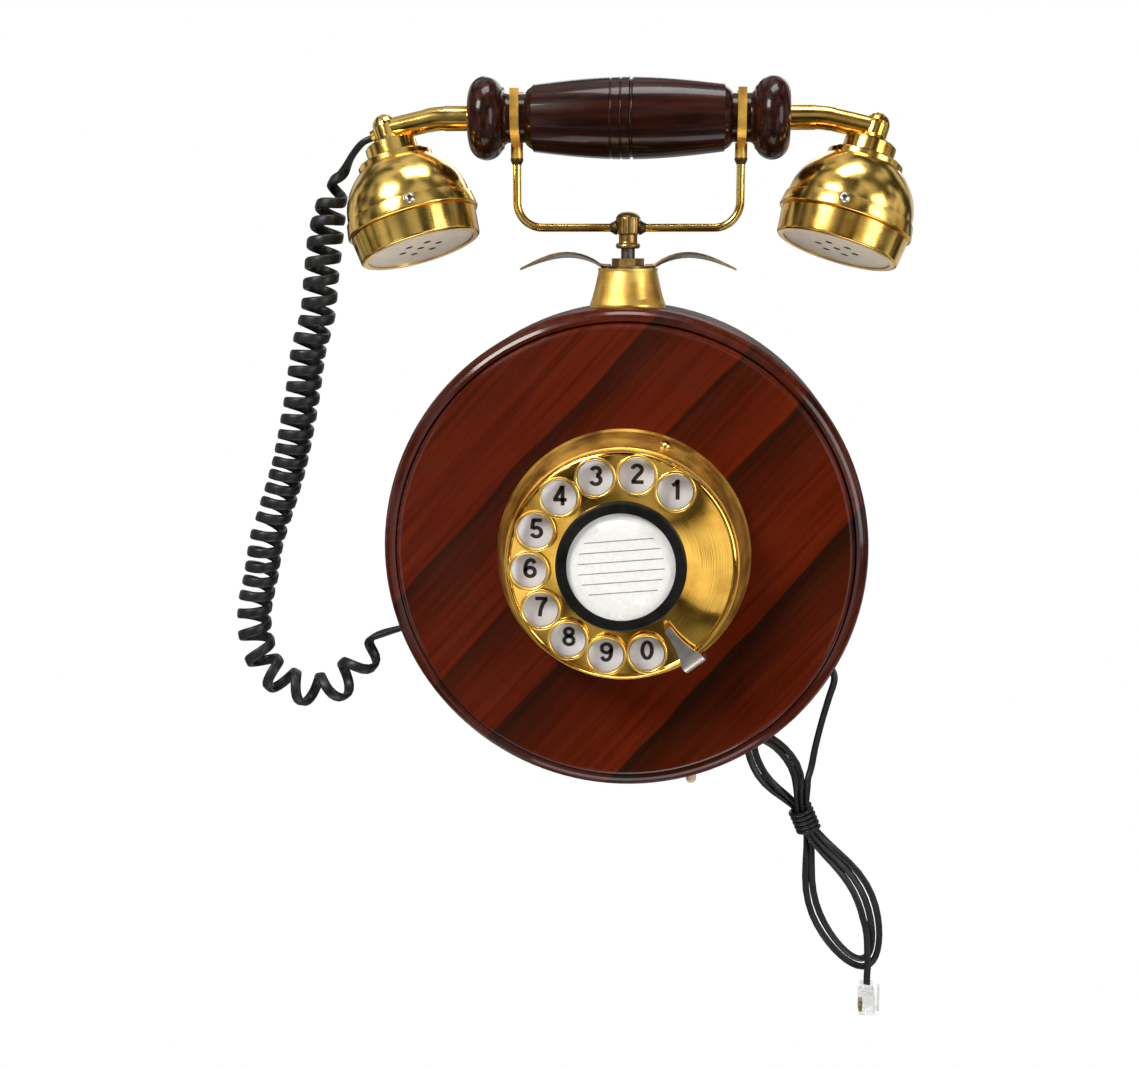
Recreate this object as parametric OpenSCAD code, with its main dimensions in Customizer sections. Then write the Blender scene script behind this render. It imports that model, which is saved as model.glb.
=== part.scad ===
// Rotary wall telephone: a wooden case with a brass dial, a brass cradle and a handset.
// The origin is the centre of the case's back on the wall. +X is right, -Y is out of the wall, +Z is up.

/* [Case] */
// Outer radius of the turned wooden case
case_r = 96; // [89:1:105]
// Depth of the case from the wall to its face
case_depth = 58; // [56:1:66]
// Thickness of the case's side wall
case_wall = 11; // [9.5:0.5:13]
// Thickness of the case's front wall
face_t = 10; // [7:0.5:12]
// Width of the rim around the front panel
face_rim = 5.8; // [5.6:0.1:9]
// Height of the front panel above the shoulder
face_step = 3; // [2:0.5:5]
// Radius of the rounded shoulder
shoulder_round = 5; // [2:0.5:5.5]
// Radius of the front panel's rounded edge
face_round = 2; // [0.5:0.5:2]
// Thickness of the rear cover
cover_t = 6; // [5:0.5:8]
// Width of the ledge that the rear cover sits on
cover_ledge = 6; // [5:0.5:6.5]
// Diameter of the cover screws
cover_screw_d = 3; // [2.5:0.1:3.5]
// Number of cover screws
cover_screw_count = 6; // [4:1:8]

/* [Wall hanger] */
// Distance of the keyhole below the case's top
hanger_drop = 38; // [34:1:43]
// Width of the steel hanger plate
hanger_w = 46; // [40:1:52]
// Height of the steel hanger plate
hanger_h = 26; // [22:1:30]
// Thickness of the steel hanger plate
hanger_t = 2; // [1.5:0.5:3]
// Diameter of the keyhole's round opening
keyhole_d = 9; // [8:0.5:11]
// Width of the keyhole's slot
keyslot_w = 4.6; // [4:0.2:5.4]

/* [Dial] */
// Radius of the brass cup where it meets the wood
cup_base_r = 49; // [47.5:0.5:52]
// Radius of the brass cup at its front edge
cup_front_r = 45; // [44.5:0.5:46.5]
// Depth of the brass cup
cup_depth = 21; // [19:0.5:24]
// Wall of the brass cup
cup_wall = 1.2; // [1:0.1:1.5]
// Width of the ledge that the dial is screwed to
dial_ledge = 7; // [6.5:0.5:7.5]
// Radius of the finger wheel
wheel_r = 43.9; // [43.4:0.1:44.6]
// Sheet thickness of the finger wheel
wheel_t = 1.6; // [1.2:0.1:2]
// Distance of the finger holes from the dial's axis
hole_circle_r = 35.2; // [35:0.1:35.5]
// Diameter of a finger hole
finger_hole_d = 13.3; // [12.8:0.1:13.6]
// Width of the raised lip round a finger hole
hole_lip_w = 1.4; // [0.8:0.05:1.4]
// Height of the raised lip round a finger hole
hole_lip_h = 1.4; // [0.8:0.1:1.6]
// Number of finger holes
hole_count = 10; // [8:1:10]
// Angle of the first finger hole, anticlockwise from three o'clock
first_hole_angle = 55; // [45:1:60]
// Number of hole pitches in a full turn
pitches_per_turn = 14; // [14:1:16]
// Radius of the black ring round the number card
card_ring_r = 25; // [23:0.5:26]
// Radius of the number card
card_r = 21.5; // [18:0.5:22]
// Height of the black card ring
card_ring_h = 3.4; // [2.5:0.1:3.6]
// Gap between the finger wheel and the number plate
wheel_gap = 3; // [2:0.5:4]
// Angle of the finger stop
stop_angle = -53; // [-58:1:-48]
// Distance of the finger stop's tip from the dial's axis
stop_tip_r = 29; // [28:0.5:32]
// Width of the finger stop at its outer end
stop_w = 9; // [7:0.5:11]
// Thickness of the finger stop
stop_t = 1.6; // [1:0.1:2]

/* [Dial train] */
// Teeth on the main gear
main_teeth = 56; // [56:7:70]
// Tooth module of the main gear and the pulse gear
train_module = 0.8; // [0.7:0.02:0.82]
// Teeth on the pulse gear
pulse_teeth = 16; // [16:2:20]
// Teeth on the governor wheel
governor_wheel_teeth = 36; // [30:2:38]
// Teeth on the governor pinion
governor_teeth = 12; // [12:1:14]
// Tooth module of the governor pair
governor_module = 0.5; // [0.45:0.05:0.55]
// Thickness of the main gear
gear_t = 2.4; // [1.6:0.2:2.6]
// Diameter of the main shaft
shaft_d = 8; // [7:0.5:9]
// Diameter of the small shafts
small_shaft_d = 3; // [2.6:0.2:3.4]
// Distance between the front plate and the rear bridge
bridge_gap = 27; // [26:0.5:30]
// Thickness of the dial's two frame plates
plate_t = 2; // [1.5:0.5:2.5]

/* [Cradle] */
// Distance of the cradle's axis from the wall
cradle_out = 30; // [27:1:33]
// Base diameter of the brass cone
cone_base_d = 30; // [26:1:34]
// Top diameter of the brass cone
cone_top_d = 23.2; // [20:0.2:25]
// Height of the brass cone above the case
cone_h = 14.5; // [12:0.5:20]
// Diameter of the nut on the cone
nut_d = 12.9; // [12.5:0.1:15]
// Height of the nut on the cone
nut_h = 3; // [2.5:0.5:4]
// Diameter of the threaded bush
bush_d = 10; // [9:0.5:11]
// Diameter of the plunger rod
plunger_d = 5.5; // [5:0.1:6]
// Travel of the hook switch
hook_travel = 6; // [4:0.5:7]
// Bare plunger between the nut and the thimble at rest
plunger_show = 3.8; // [3.5:0.1:6]
// Height of the fluted thimble
thimble_h = 14.5; // [13.5:0.5:17]
// Diameter of the thimble's fluted bulb
thimble_d = 9.8; // [9.2:0.2:12]
// Number of flutes on the thimble
flute_count = 16; // [13:1:20]
// Diameter of the fork rod
fork_d = 3.3; // [2.8:0.1:3.6]
// Distance of the fork's arms from the middle
fork_reach = 44; // [42.4:0.2:44.4]
// Bend radius of the fork rod
fork_bend = 10; // [7:0.5:13]
// Width of the saddle strip
saddle_w = 3.4; // [2.6:0.2:3.6]
// Thickness of the saddle strip
saddle_t = 1.5; // [1.2:0.1:2]
// Height of the prongs above the handset's axis
prong_h = 10.5; // [8:0.5:14]
// Reach of a leaf wing from the middle
wing_reach = 43; // [36:1:46]
// Rise of a leaf wing
wing_rise = 4.6; // [3:0.2:5.2]
// Width of a leaf wing
wing_w = 11; // [8:0.5:14]
// Sheet thickness of the leaf wings
wing_t = 0.9; // [0.6:0.1:1.2]

/* [Handset] */
// Height of the handset's axis above the case's centre
handset_up = 168.7; // [166:0.1:176]
// Roll of the handset, with its bells turned to the front
handset_roll = 12; // [6:1:16]
// Run of the turned grip past the fork's arm
grip_past = 18.7; // [16:0.1:22]
// Radius of the grip's barrel at its middle
barrel_r = 15.9; // [14:0.1:17]
// Radius of the grip's barrel at its ends
barrel_end_r = 13; // [11.5:0.1:13.9]
// Distance of the grip's barrel from the fork's arm
barrel_short = 6.6; // [6:0.1:9]
// Radius of the grip's necks
neck_r = 9.5; // [8.5:0.1:10]
// Radius of the grip's end knobs
knob_r = 16.2; // [14:0.1:17]
// Width of the grip's end knobs
knob_w = 13.4; // [12:0.1:13.6]
// Diameter of the brass arm tubes
tube_d = 9; // [8:0.2:10]
// Distance of the bell faces from the middle
bell_reach = 81; // [80:0.5:85]
// Drop of the bell faces below the handset's axis
bell_drop = 52; // [50:0.5:55]
// Tilt of the bells towards the middle
bell_tilt = 17.3; // [12:0.1:20]
// Greatest radius of a bell
bell_r = 26.4; // [25.6:0.1:27]
// Height of the bell's screwed cap
cap_h = 10.5; // [10:0.5:12.5]
// Height of the bell above its cap
bell_h = 33.5; // [32.5:0.5:35]
// Height of the straight band round the bell's foot
band_h = 6; // [4.5:0.5:7]
// Sheet thickness of the bells
bell_wall = 1.2; // [1:0.1:1.5]
// Number of outer sound holes in a grille
grille_holes = 6; // [5:1:8]
// Diameter of a sound hole
grille_hole_d = 2.6; // [2:0.2:3]

/* [Ringer button] */
// Diameter of the ringer button
button_d = 4.3; // [4:0.1:5]
// Distance of the ringer button from the middle
button_x = 27.5; // [20:0.5:32]
// Height of the ringer button below the case
button_show = 9.6; // [8:0.2:12]
// Travel of the ringer button
button_travel = 3; // [2:0.5:4]

/* [Cords] */
// Diameter of the curly cord's cable
curl_cable_d = 3.2; // [2.8:0.1:3.4]
// Diameter of the line cord's cable
line_cable_d = 2; // [1.8:0.1:2]
// Loops in the line cord's hank
hank_loops = 3; // [2:1:4]
// Distance between neighbouring strands of the hank
hank_step = 3.7; // [3.6:0.1:4]
// Turns of the cord's tie
tie_turns = 4; // [3:1:5]
// Diameter of the cord grommets
grommet_d = 8; // [7:0.5:9]

/* [Hidden] */
$fn = 64;

// Clearance between fixed pieces that fit together
fit = 0.08;
// Radial clearance of a running fit
run_fit = 0.06;
// Clearance between curved faces that move past each other
clear = 0.3;
// Overlap that makes a cut or a union certain
cut = 1;

wood = "saddlebrown";
dark_wood = "#3a1c10";
brass = "#c99a3c";
steel = "#b9b5ae";
black = "#161616";
white = "#f2f0ea";

// Points on an arc about a centre, from one angle to another
function arc_points(centre, r, from, to, steps) =
  [for (i = [0:steps]) let (a = from + (to - from) * i / steps) centre + r * [cos(a), sin(a)]];

// A direction in the plane of the face
function polar(r, angle) = r * [cos(angle), sin(angle)];

// Draws in the plane of the wall, with local z out of the wall
module front() { rotate([90, 0, 0]) children(); }

// Turns a profile of radius and distance about the local z axis
module turned(points) { rotate_extrude() polygon(points); }

// Copies children round the local z axis
module ring_of(count, r, start = 0) {
  for (i = [0:count - 1]) rotate([0, 0, start + 360 * i / count]) translate([r, 0, 0]) children();
}

// A countersunk screw, its head flush at local z = 0 and its shank along +z
module countersunk_screw(d, length) {
  cylinder(d1 = 2 * d, d2 = d, h = d / 2);
  cylinder(d = d, h = length);
}

// The hole for a countersunk screw
module countersunk_hole(d, length) {
  translate([0, 0, -cut]) cylinder(d = 2 * d + 2 * fit, h = cut);
  cylinder(d1 = 2 * d + 2 * fit, d2 = d + 2 * fit, h = d / 2);
  cylinder(d = d + 2 * fit, h = length);
}

// A pan head screw, its head above local z = 0 and its shank below
module pan_screw(d, length) {
  head_h = 0.6 * d;
  translate([0, 0, -length]) cylinder(d = d, h = length);
  turned(concat([[0, 0], [d, 0]], arc_points([d - head_h, 0], head_h, 0, 90, 4), [[0, head_h]]));
}

/* Gears */
// Angle in degrees of an involute at a radius
function involute_angle(base_r, r) = let (a = sqrt(max(0, pow(r / base_r, 2) - 1))) a * 180 / PI - atan(a);

pressure_angle = 25;
tooth_addendum = 0.9;
tooth_dedendum = 1.15;
tooth_backlash = 0.18;
flank_steps = 3;

function pitch_radius(teeth, size) = teeth * size / 2;

// Outline of a spur gear with a tooth centred on a chosen angle
function gear_outline(teeth, size, first_angle = 0) =
  let (
    pitch_r = pitch_radius(teeth, size),
    base_r = pitch_r * cos(pressure_angle),
    tip_r = pitch_r + tooth_addendum * size,
    root_r = pitch_r - tooth_dedendum * size,
    start_r = max(base_r, root_r),
    slack = tooth_backlash * size / pitch_r * 90 / PI,
    at_pitch = 90 / teeth - slack + involute_angle(base_r, pitch_r),
    radii = [for (i = [0:flank_steps]) start_r + (tip_r - start_r) * i / flank_steps],
    halves = [for (r = radii) at_pitch - involute_angle(base_r, r)]
  )
  [for (t = [0:teeth - 1]) let (a = first_angle + 360 * t / teeth)
    each concat(
      [polar(root_r, a - halves[0] - 0.4 * 90 / teeth)],
      [for (i = [0:flank_steps]) polar(radii[i], a - halves[i])],
      [for (i = [flank_steps:-1:0]) polar(radii[i], a + halves[i])],
      [polar(root_r, a + halves[0] + 0.4 * 90 / teeth)]
    )];

/* Swept tubes */
function unit(v) = v / norm(v);

// A point on a smooth curve through a list of points
function spline(points, t) =
  let (
    n = len(points),
    i = min(floor(t), n - 2),
    u = t - i,
    p1 = points[i],
    p2 = points[i + 1],
    p0 = i > 0 ? points[i - 1] : 2 * p1 - p2,
    p3 = i < n - 2 ? points[i + 2] : 2 * p2 - p1
  )
  0.5 * (2 * p1 + (p2 - p0) * u + (2 * p0 - 5 * p1 + 4 * p2 - p3) * u * u
    + (3 * p1 - p0 - 3 * p2 + p3) * u * u * u);

// Direction of a path at one of its points
function path_direction(path, i) = unit(path[min(i + 1, len(path) - 1)] - path[max(i - 1, 0)]);

// A vector carried along a path without twist
function carried_normals(path, first) = [
  for (
    i = 0, v = unit(first - (first * path_direction(path, 0)) * path_direction(path, 0));
    i < len(path);
    i = i + 1,
    d = path_direction(path, min(i, len(path) - 1)),
    v = unit(v - (v * d) * d)
  ) v];

// One closed tube of triangles along a path
module tube_along(path, d, sides, first = [0, 1, 0]) {
  rings = len(path);
  normals = carried_normals(path, first);
  points = [
    for (i = [0:rings - 1])
      let (t = path_direction(path, i), u = normals[i], v = cross(t, u))
      for (k = [0:sides - 1])
        path[i] + d / 2 * (cos(360 * k / sides) * u + sin(360 * k / sides) * v)
  ];
  side_faces = [
    for (i = [0:rings - 2]) for (k = [0:sides - 1])
      let (a = i * sides + k, b = i * sides + (k + 1) % sides, c = a + sides, e = b + sides)
      each [[a, c, b], [b, c, e]]
  ];
  start_cap = [for (k = [1:sides - 2]) [0, k, k + 1]];
  last = (rings - 1) * sides;
  end_cap = [for (k = [1:sides - 2]) [last, last + k + 1, last + k]];
  polyhedron(points = points, faces = concat(side_faces, start_cap, end_cap), convexity = 10);
}

// Least gap of a tube to itself, some diameters apart along it
function least_gap(path, d, skip) =
  min([for (i = [0:len(path) - 1 - skip]) for (j = [i + skip:len(path) - 1]) norm(path[i] - path[j])]) - d;

// Length of a path
function path_length(path, i = 0) =
  i >= len(path) - 1 ? 0 : norm(path[i + 1] - path[i]) + path_length(path, i + 1);

/* Derived sizes of the case */
case_inner_r = case_r - case_wall;
face_edge_r = case_r - face_rim;
cover_r = case_inner_r + cover_ledge;
hanger_up = case_r - hanger_drop;
dial_hole_r = cup_front_r - dial_ledge;
shoulder_out = case_depth - face_step;
quirk_depth = 1;
back_chamfer = 1;
cover_screw_r = case_inner_r + cover_ledge / 2;
cover_screw_len = 20;

case_profile = concat(
  [[cover_r + fit, 0], [case_r - back_chamfer, 0], [case_r, back_chamfer]],
  arc_points([case_r - shoulder_round, shoulder_out - shoulder_round], shoulder_round, 0, 90, 6),
  [[face_edge_r, shoulder_out - quirk_depth]],
  arc_points([face_edge_r - face_round, case_depth - face_round], face_round, 0, 90, 4),
  [
    [dial_hole_r, case_depth],
    [dial_hole_r, case_depth - face_t],
    [case_inner_r, case_depth - face_t],
    [case_inner_r, cover_t],
    [cover_r + fit, cover_t]
  ]
);

// Where the two cords pass through the side wall
curl_exit_angle = 203;
line_exit_angle = -33;
cord_exit_out = 16;
grommet_flange_d = grommet_d + 3;
grommet_flange_t = 2;
grommet_tail = 3;

// Places children on the case's side wall, local z outward
module on_side_wall(angle) {
  translate([0, -cord_exit_out, 0]) rotate([0, 90 - angle, 0]) children();
}

module case_shell() {
  color(wood) difference() {
    front() turned(case_profile);
    // Bore for the cradle's bush
    translate([0, -cradle_out, 0]) cylinder(d = bush_d + 2 * fit, h = case_r + cut);
    // Bore for the ringer button
    translate([button_x, -cradle_out, -case_r - cut])
      cylinder(d = button_d + 2 * run_fit, h = case_r);
    // Bores for the cord grommets
    for (angle = [curl_exit_angle, line_exit_angle])
      on_side_wall(angle) translate([0, 0, case_r / 2]) cylinder(d = grommet_d + 2 * fit, h = case_r);
    // Pilot holes for the cover's screws and the dial's screws
    front() ring_of(cover_screw_count, cover_screw_r)
      translate([0, 0, cover_t - cut])
        cylinder(d = cover_screw_d + 2 * fit, h = cover_screw_len - cover_t + 2 * cut);
    front() ring_of(dial_screw_count, dial_screw_r, dial_screw_angle)
      translate([0, 0, case_depth - dial_screw_len])
        cylinder(d = dial_screw_d + 2 * fit, h = dial_screw_len + cut);
  }
}

module hanger_outline(grow = 0) {
  square([hanger_w + 2 * grow, hanger_h + 2 * grow], center = true);
}

hanger_screw_d = 3;
hanger_screw_x = hanger_w / 2 - 6;
hanger_screw_len = cover_t - 0.5;
// Room behind the keyhole for the wall screw's head
hanger_relief = 1.5;

module keyhole() {
  circle(d = keyhole_d);
  translate([-keyslot_w / 2, 0]) square([keyslot_w, hanger_h / 2 - 4]);
}

module rear_cover() {
  relief_w = keyhole_d + 2 * hanger_relief;
  color(dark_wood) front() difference() {
    cylinder(r = cover_r, h = cover_t);
    translate([0, hanger_up, -cut]) linear_extrude(hanger_t + fit + cut) hanger_outline(fit);
    translate([-relief_w / 2, hanger_up - relief_w / 2, 0])
      cube([relief_w, hanger_h / 2 + keyhole_d / 2, cover_t + cut]);
    for (side = [-1, 1]) translate([side * hanger_screw_x, hanger_up, -cut])
      cylinder(d = hanger_screw_d + 2 * fit, h = cover_t + 2 * cut);
    ring_of(cover_screw_count, cover_screw_r) countersunk_hole(cover_screw_d, cover_t + cut);
    for (x = board_screw_x, z = board_screw_z) translate([x, z, cover_t / 2])
      cylinder(d = board_screw_d + 2 * fit, h = cover_t);
  }
}

module cover_screws() {
  color(steel) front() ring_of(cover_screw_count, cover_screw_r)
    countersunk_screw(cover_screw_d, cover_screw_len);
}

module hanger_plate() {
  color(steel) front() translate([0, hanger_up, 0]) difference() {
    linear_extrude(hanger_t) difference() {
      hanger_outline();
      keyhole();
    }
    for (side = [-1, 1]) translate([side * hanger_screw_x, 0, 0])
      countersunk_hole(hanger_screw_d, hanger_t + cut);
  }
}

module hanger_screws() {
  color(steel) front() for (side = [-1, 1])
    translate([side * hanger_screw_x, hanger_up, 0]) countersunk_screw(hanger_screw_d, hanger_screw_len);
}

/* Dial: what stands still */
cup_front = case_depth + cup_depth;
cup_flange_t = 1.5;
cup_inner_base_r = cup_base_r - cup_wall;
cup_inner_front_r = cup_front_r - cup_wall;
cup_rim_round = 0.8;
cup_wall_start = case_depth + 2 * cup_flange_t;
cup_wall_end = cup_front - cup_wall / 2;

/* Distances of the dial's layers from the wall */
number_plate_t = 1;
number_plate_sink = 3.4;
number_plate_back = cup_front - number_plate_sink;
number_plate_front = number_plate_back + number_plate_t;
wheel_back = number_plate_front + wheel_gap;
wheel_front = wheel_back + wheel_t;
dish_back = case_depth + cup_flange_t;
dish_floor = dish_back + plate_t;
bridge_front = dish_back - bridge_gap;
bridge_back = bridge_front - plate_t;
main_gear_back = dish_back - gear_t - 3;
pulse_gear_overlap = 0.4;
pulse_gear_t = gear_t + 2 * pulse_gear_overlap;
pulse_gear_back = main_gear_back - pulse_gear_overlap;
cam_t = 2;
cam_r = 4.4;
cam_back = pulse_gear_back - 2 * cam_t;
governor_wheel_t = 1.4;
governor_wheel_back = cam_back - 4.6;

// Inner radius of the cup at a distance from the wall
function cup_inner_r(out) =
  cup_inner_base_r + (cup_inner_front_r - cup_inner_base_r) * (out - case_depth) / cup_depth;

module dial_cup() {
  color(brass) difference() {
    front() turned(concat(
      [
        [dial_hole_r, case_depth],
        [cup_base_r + cup_rim_round, case_depth],
        [cup_base_r + cup_rim_round, case_depth + cup_flange_t],
        [cup_base_r, cup_wall_start]
      ],
      arc_points([cup_front_r - cup_wall / 2, cup_wall_end], cup_wall / 2, 0, 180, 6),
      [
        [cup_inner_base_r, case_depth + cup_flange_t],
        [dial_hole_r, case_depth + cup_flange_t]
      ]
    ));
    front() ring_of(dial_screw_count, dial_screw_r, dial_screw_angle)
      translate([0, 0, case_depth - cut])
        cylinder(d = dial_screw_d + 2 * fit, h = cup_flange_t + 2 * cut);
    cup_screw_place() cylinder(d = cup_screw_d + 2 * fit, h = cup_base_r, center = true);
    // Flat where the finger stop's foot is riveted on
    stop_place() translate([cup_front_r, 0, stop_foot_out])
      rotate([0, 90, 0]) cylinder(d = stop_rivet_d + 2 * fit, h = 8 * cup_wall, center = true);
  }
}

cup_screw_d = 2.4;
cup_screw_angle = 70;
cup_screw_out = case_depth + cup_depth / 2;
cup_slope = atan((cup_base_r - cup_front_r) / (cup_wall_end - cup_wall_start));
cup_screw_len = 1.6;

// Radius of the cup's outside at a distance from the wall
function cup_outer_r(out) = cup_base_r - (out - cup_wall_start) * tan(cup_slope);

// Places children on the cup's side with local z along its radius
module cup_screw_place() {
  front() rotate([0, 0, cup_screw_angle]) translate([cup_outer_r(cup_screw_out), 0, cup_screw_out])
    rotate([0, 90 - cup_slope, 0]) children();
}

module dial_cup_screw() {
  color(steel) cup_screw_place() translate([0, 0, fit]) pan_screw(cup_screw_d, cup_screw_len);
}

// The dial's front plate is a shallow dish that stands in the cup
dish_r = cup_inner_r(number_plate_back) - clear;
dish_wall = 1.4;
dial_screw_d = 2;
dial_screw_count = 3;
dial_screw_angle = 100;
dial_screw_r = (dial_hole_r + dish_r - dish_wall) / 2;
dial_screw_len = 7;
bearing_d = shaft_d + 6;

pillar_d = 6;
pillar_angles = [60, 140, 300];
pillar_r = 33;
bridge_screw_d = 3;
bridge_screw_len = 9;
bridge_rim = 4;

// Shaft places in the plane of the face
pulse_centre_distance = pitch_radius(main_teeth + pulse_teeth, train_module);
pulse_angle = 215;
pulse_at = polar(pulse_centre_distance, pulse_angle);
governor_distance = pitch_radius(governor_wheel_teeth + governor_teeth, governor_module);
governor_angle = 305;
governor_at = pulse_at + polar(governor_distance, governor_angle);

module dial_front_plate() {
  color(steel) front() difference() {
    union() {
      turned([
        [0, dish_back], [dish_r, dish_back], [dish_r, number_plate_back],
        [dish_r - dish_wall, number_plate_back], [dish_r - dish_wall, dish_floor], [0, dish_floor]
      ]);
      translate([0, 0, dish_floor - fit])
        cylinder(d = bearing_d, h = number_plate_back - dish_floor - clear);
      for (a = pillar_angles) translate(concat(polar(pillar_r, a), bridge_front))
        cylinder(d = pillar_d, h = bridge_gap + plate_t / 2);
    }
    translate([0, 0, dish_back - cut]) cylinder(d = shaft_d + 2 * run_fit, h = cup_depth);
    for (at = [pulse_at, governor_at]) translate(concat(at, dish_back - cut))
      cylinder(d = small_shaft_d + 2 * run_fit, h = plate_t + 2 * cut);
    ring_of(dial_screw_count, dial_screw_r, dial_screw_angle)
      translate([0, 0, dish_back - cut]) cylinder(d = dial_screw_d + 2 * fit, h = plate_t + 2 * cut);
    for (a = pillar_angles) translate(concat(polar(pillar_r, a), bridge_front - cut))
      cylinder(d = bridge_screw_d + 2 * fit, h = bridge_screw_len);
  }
}

module dial_fix_screws() {
  color(steel) front() ring_of(dial_screw_count, dial_screw_r, dial_screw_angle)
    translate([0, 0, dish_floor]) pan_screw(dial_screw_d, dish_floor - case_depth + dial_screw_len - cut);
}

module number_plate() {
  color(white) front() translate([0, 0, number_plate_back]) difference() {
    cylinder(r = dish_r, h = number_plate_t);
    translate([0, 0, -cut]) cylinder(d = shaft_d + 2 * clear, h = number_plate_t + 2 * cut);
  }
}

stop_rivet_d = 2.4;
stop_foot_out = cup_front - 5;
stop_foot_low = stop_foot_out - stop_rivet_d;
stop_back = wheel_front + hole_lip_h + 2 * clear;
stop_outer_r = cup_outer_r(stop_foot_low) + clear;
stop_tip_w = 3;
stop_steps = 8;
stop_flare = 2.2;
stop_round = 2;

// Places children at the finger stop, with local x along its radius
module stop_place() { front() rotate([0, 0, stop_angle]) children(); }

module finger_stop() {
  tip_x = stop_tip_r + stop_tip_w / 2;
  bend_x = stop_outer_r - stop_round;
  side = [for (i = [1:stop_steps]) let (u = i / stop_steps)
    [tip_x + (bend_x - tip_x) * u, (stop_tip_w + (stop_w - stop_tip_w) * pow(u, stop_flare)) / 2]];
  color(steel) stop_place() {
    // Tongue over the wheel, flared at its root
    translate([0, 0, stop_back]) linear_extrude(stop_t) polygon(concat(
      arc_points([tip_x, 0], stop_tip_w / 2, 90, 270, 10),
      [for (p = side) [p.x, -p.y]],
      [for (i = [stop_steps - 1:-1:0]) side[i]]
    ));
    // Bend over the cup's edge
    translate([bend_x, -stop_w / 2, stop_back - stop_round]) rotate([-90, 0, 0]) rotate([0, 0, -90])
      rotate_extrude(angle = 90) translate([stop_round, 0]) square([stop_t, stop_w]);
    // Foot on the cup's side
    translate([stop_outer_r, -stop_w / 2, stop_foot_low])
      cube([stop_t, stop_w, stop_back - stop_round - stop_foot_low]);
    // Rivet through the cup
    translate([cup_inner_r(stop_foot_out) - clear, 0, stop_foot_out]) rotate([0, 90, 0])
      cylinder(d = stop_rivet_d, h = stop_outer_r - cup_inner_r(stop_foot_out) + clear + stop_t);
  }
}

module dial_rear_bridge() {
  lobe_d = pillar_d + bridge_rim;
  color(steel) front() difference() {
    translate([0, 0, bridge_back]) linear_extrude(plate_t) {
      circle(d = bearing_d + 2 * bridge_rim);
      for (a = pillar_angles) rotate([0, 0, a]) {
        translate([0, -lobe_d / 2]) square([pillar_r, lobe_d]);
        translate([pillar_r, 0]) circle(d = lobe_d);
      }
      rotate([0, 0, pulse_angle]) {
        translate([0, -lobe_d / 2]) square([pulse_centre_distance, lobe_d]);
        translate([pulse_centre_distance, 0]) circle(d = lobe_d);
      }
      translate(governor_at) circle(d = governor_cup_d);
    }
    translate([0, 0, bridge_back - cut]) {
      cylinder(d = shaft_pivot_d + 2 * run_fit, h = plate_t + 2 * cut);
      for (at = [pulse_at, governor_at]) translate(at)
        cylinder(d = small_shaft_d + 2 * run_fit, h = plate_t + 2 * cut);
      for (a = pillar_angles) translate(polar(pillar_r, a))
        cylinder(d = bridge_screw_d + 2 * fit, h = plate_t + 2 * cut);
    }
  }
}

module bridge_screws() {
  color(steel) front() for (a = pillar_angles) translate(concat(polar(pillar_r, a), bridge_back))
    mirror([0, 0, 1]) pan_screw(bridge_screw_d, bridge_screw_len - 2 * cut);
}

// Return spring: a flat spiral between the shaft and a pillar
mainspring_t = 0.5;
mainspring_w = 5;
mainspring_turns = 3;
mainspring_steps = 20;
mainspring_out = bridge_front + 3;
mainspring_inner_r = shaft_d / 2 + 1;
mainspring_outer_r = 17;

function mainspring_r(t) =
  mainspring_inner_r + (mainspring_outer_r - mainspring_inner_r) * t / mainspring_turns;

module dial_mainspring() {
  steps = mainspring_turns * mainspring_steps;
  turns = [for (i = [0:steps]) i / mainspring_steps];
  first = pillar_angles[0];
  hook = 360 / mainspring_steps / 4;
  anchor_r = pillar_r - pillar_d / 2 - clear;
  color(steel) front() translate([0, 0, mainspring_out]) linear_extrude(mainspring_w) polygon(concat(
    // Inner end, hooked to the shaft
    [polar(shaft_d / 2 + clear, first - hook), polar(shaft_d / 2 + clear, first)],
    [for (t = turns) polar(mainspring_r(t), 360 * t + first)],
    // Outer end, hooked to the first pillar
    [polar(anchor_r, first), polar(anchor_r, first - hook / 4)],
    [for (i = [steps - 1:-1:0]) polar(mainspring_r(turns[i]) + mainspring_t, 360 * turns[i] + first)],
    [polar(mainspring_inner_r + mainspring_t, first - hook)]
  ));
}

// Contact springs beside the pulse cam, on a block
contact_margin = 1.5;
contact_out = cam_back - contact_margin;
contact_w = cam_t + 2 * contact_margin;
contact_t = 0.3;
contact_gap = 0.8;
contact_past = 4;
contact_reach = 18;
contact_block_l = 6;
contact_count = 3;
contact_angle = pulse_angle - 106;

module pulse_contacts() {
  stack = contact_count * contact_t + (contact_count - 1) * contact_gap;
  color(brass) front() translate(concat(pulse_at, contact_out)) rotate([0, 0, contact_angle])
    translate([0, cam_r + clear, 0]) {
      for (i = [0:contact_count - 1]) translate([-contact_past, i * (contact_t + contact_gap), 0])
        cube([contact_past + contact_reach, contact_t, contact_w]);
      translate([contact_reach - contact_block_l, 0, 0])
        cube([contact_block_l, stack, dish_back - contact_out]);
    }
}

governor_cup_d = 20;
governor_cup_h = 8;
governor_cup_wall = 1.2;

module governor_cup() {
  color(brass) front() translate(concat(governor_at, bridge_front)) difference() {
    cylinder(d = governor_cup_d, h = governor_cup_h);
    translate([0, 0, governor_cup_wall])
      cylinder(d = governor_cup_d - 2 * governor_cup_wall, h = governor_cup_h);
    translate([0, 0, -cut]) cylinder(d = small_shaft_d + 2 * clear, h = 2 * governor_cup_wall + cut);
  }
}

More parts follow.
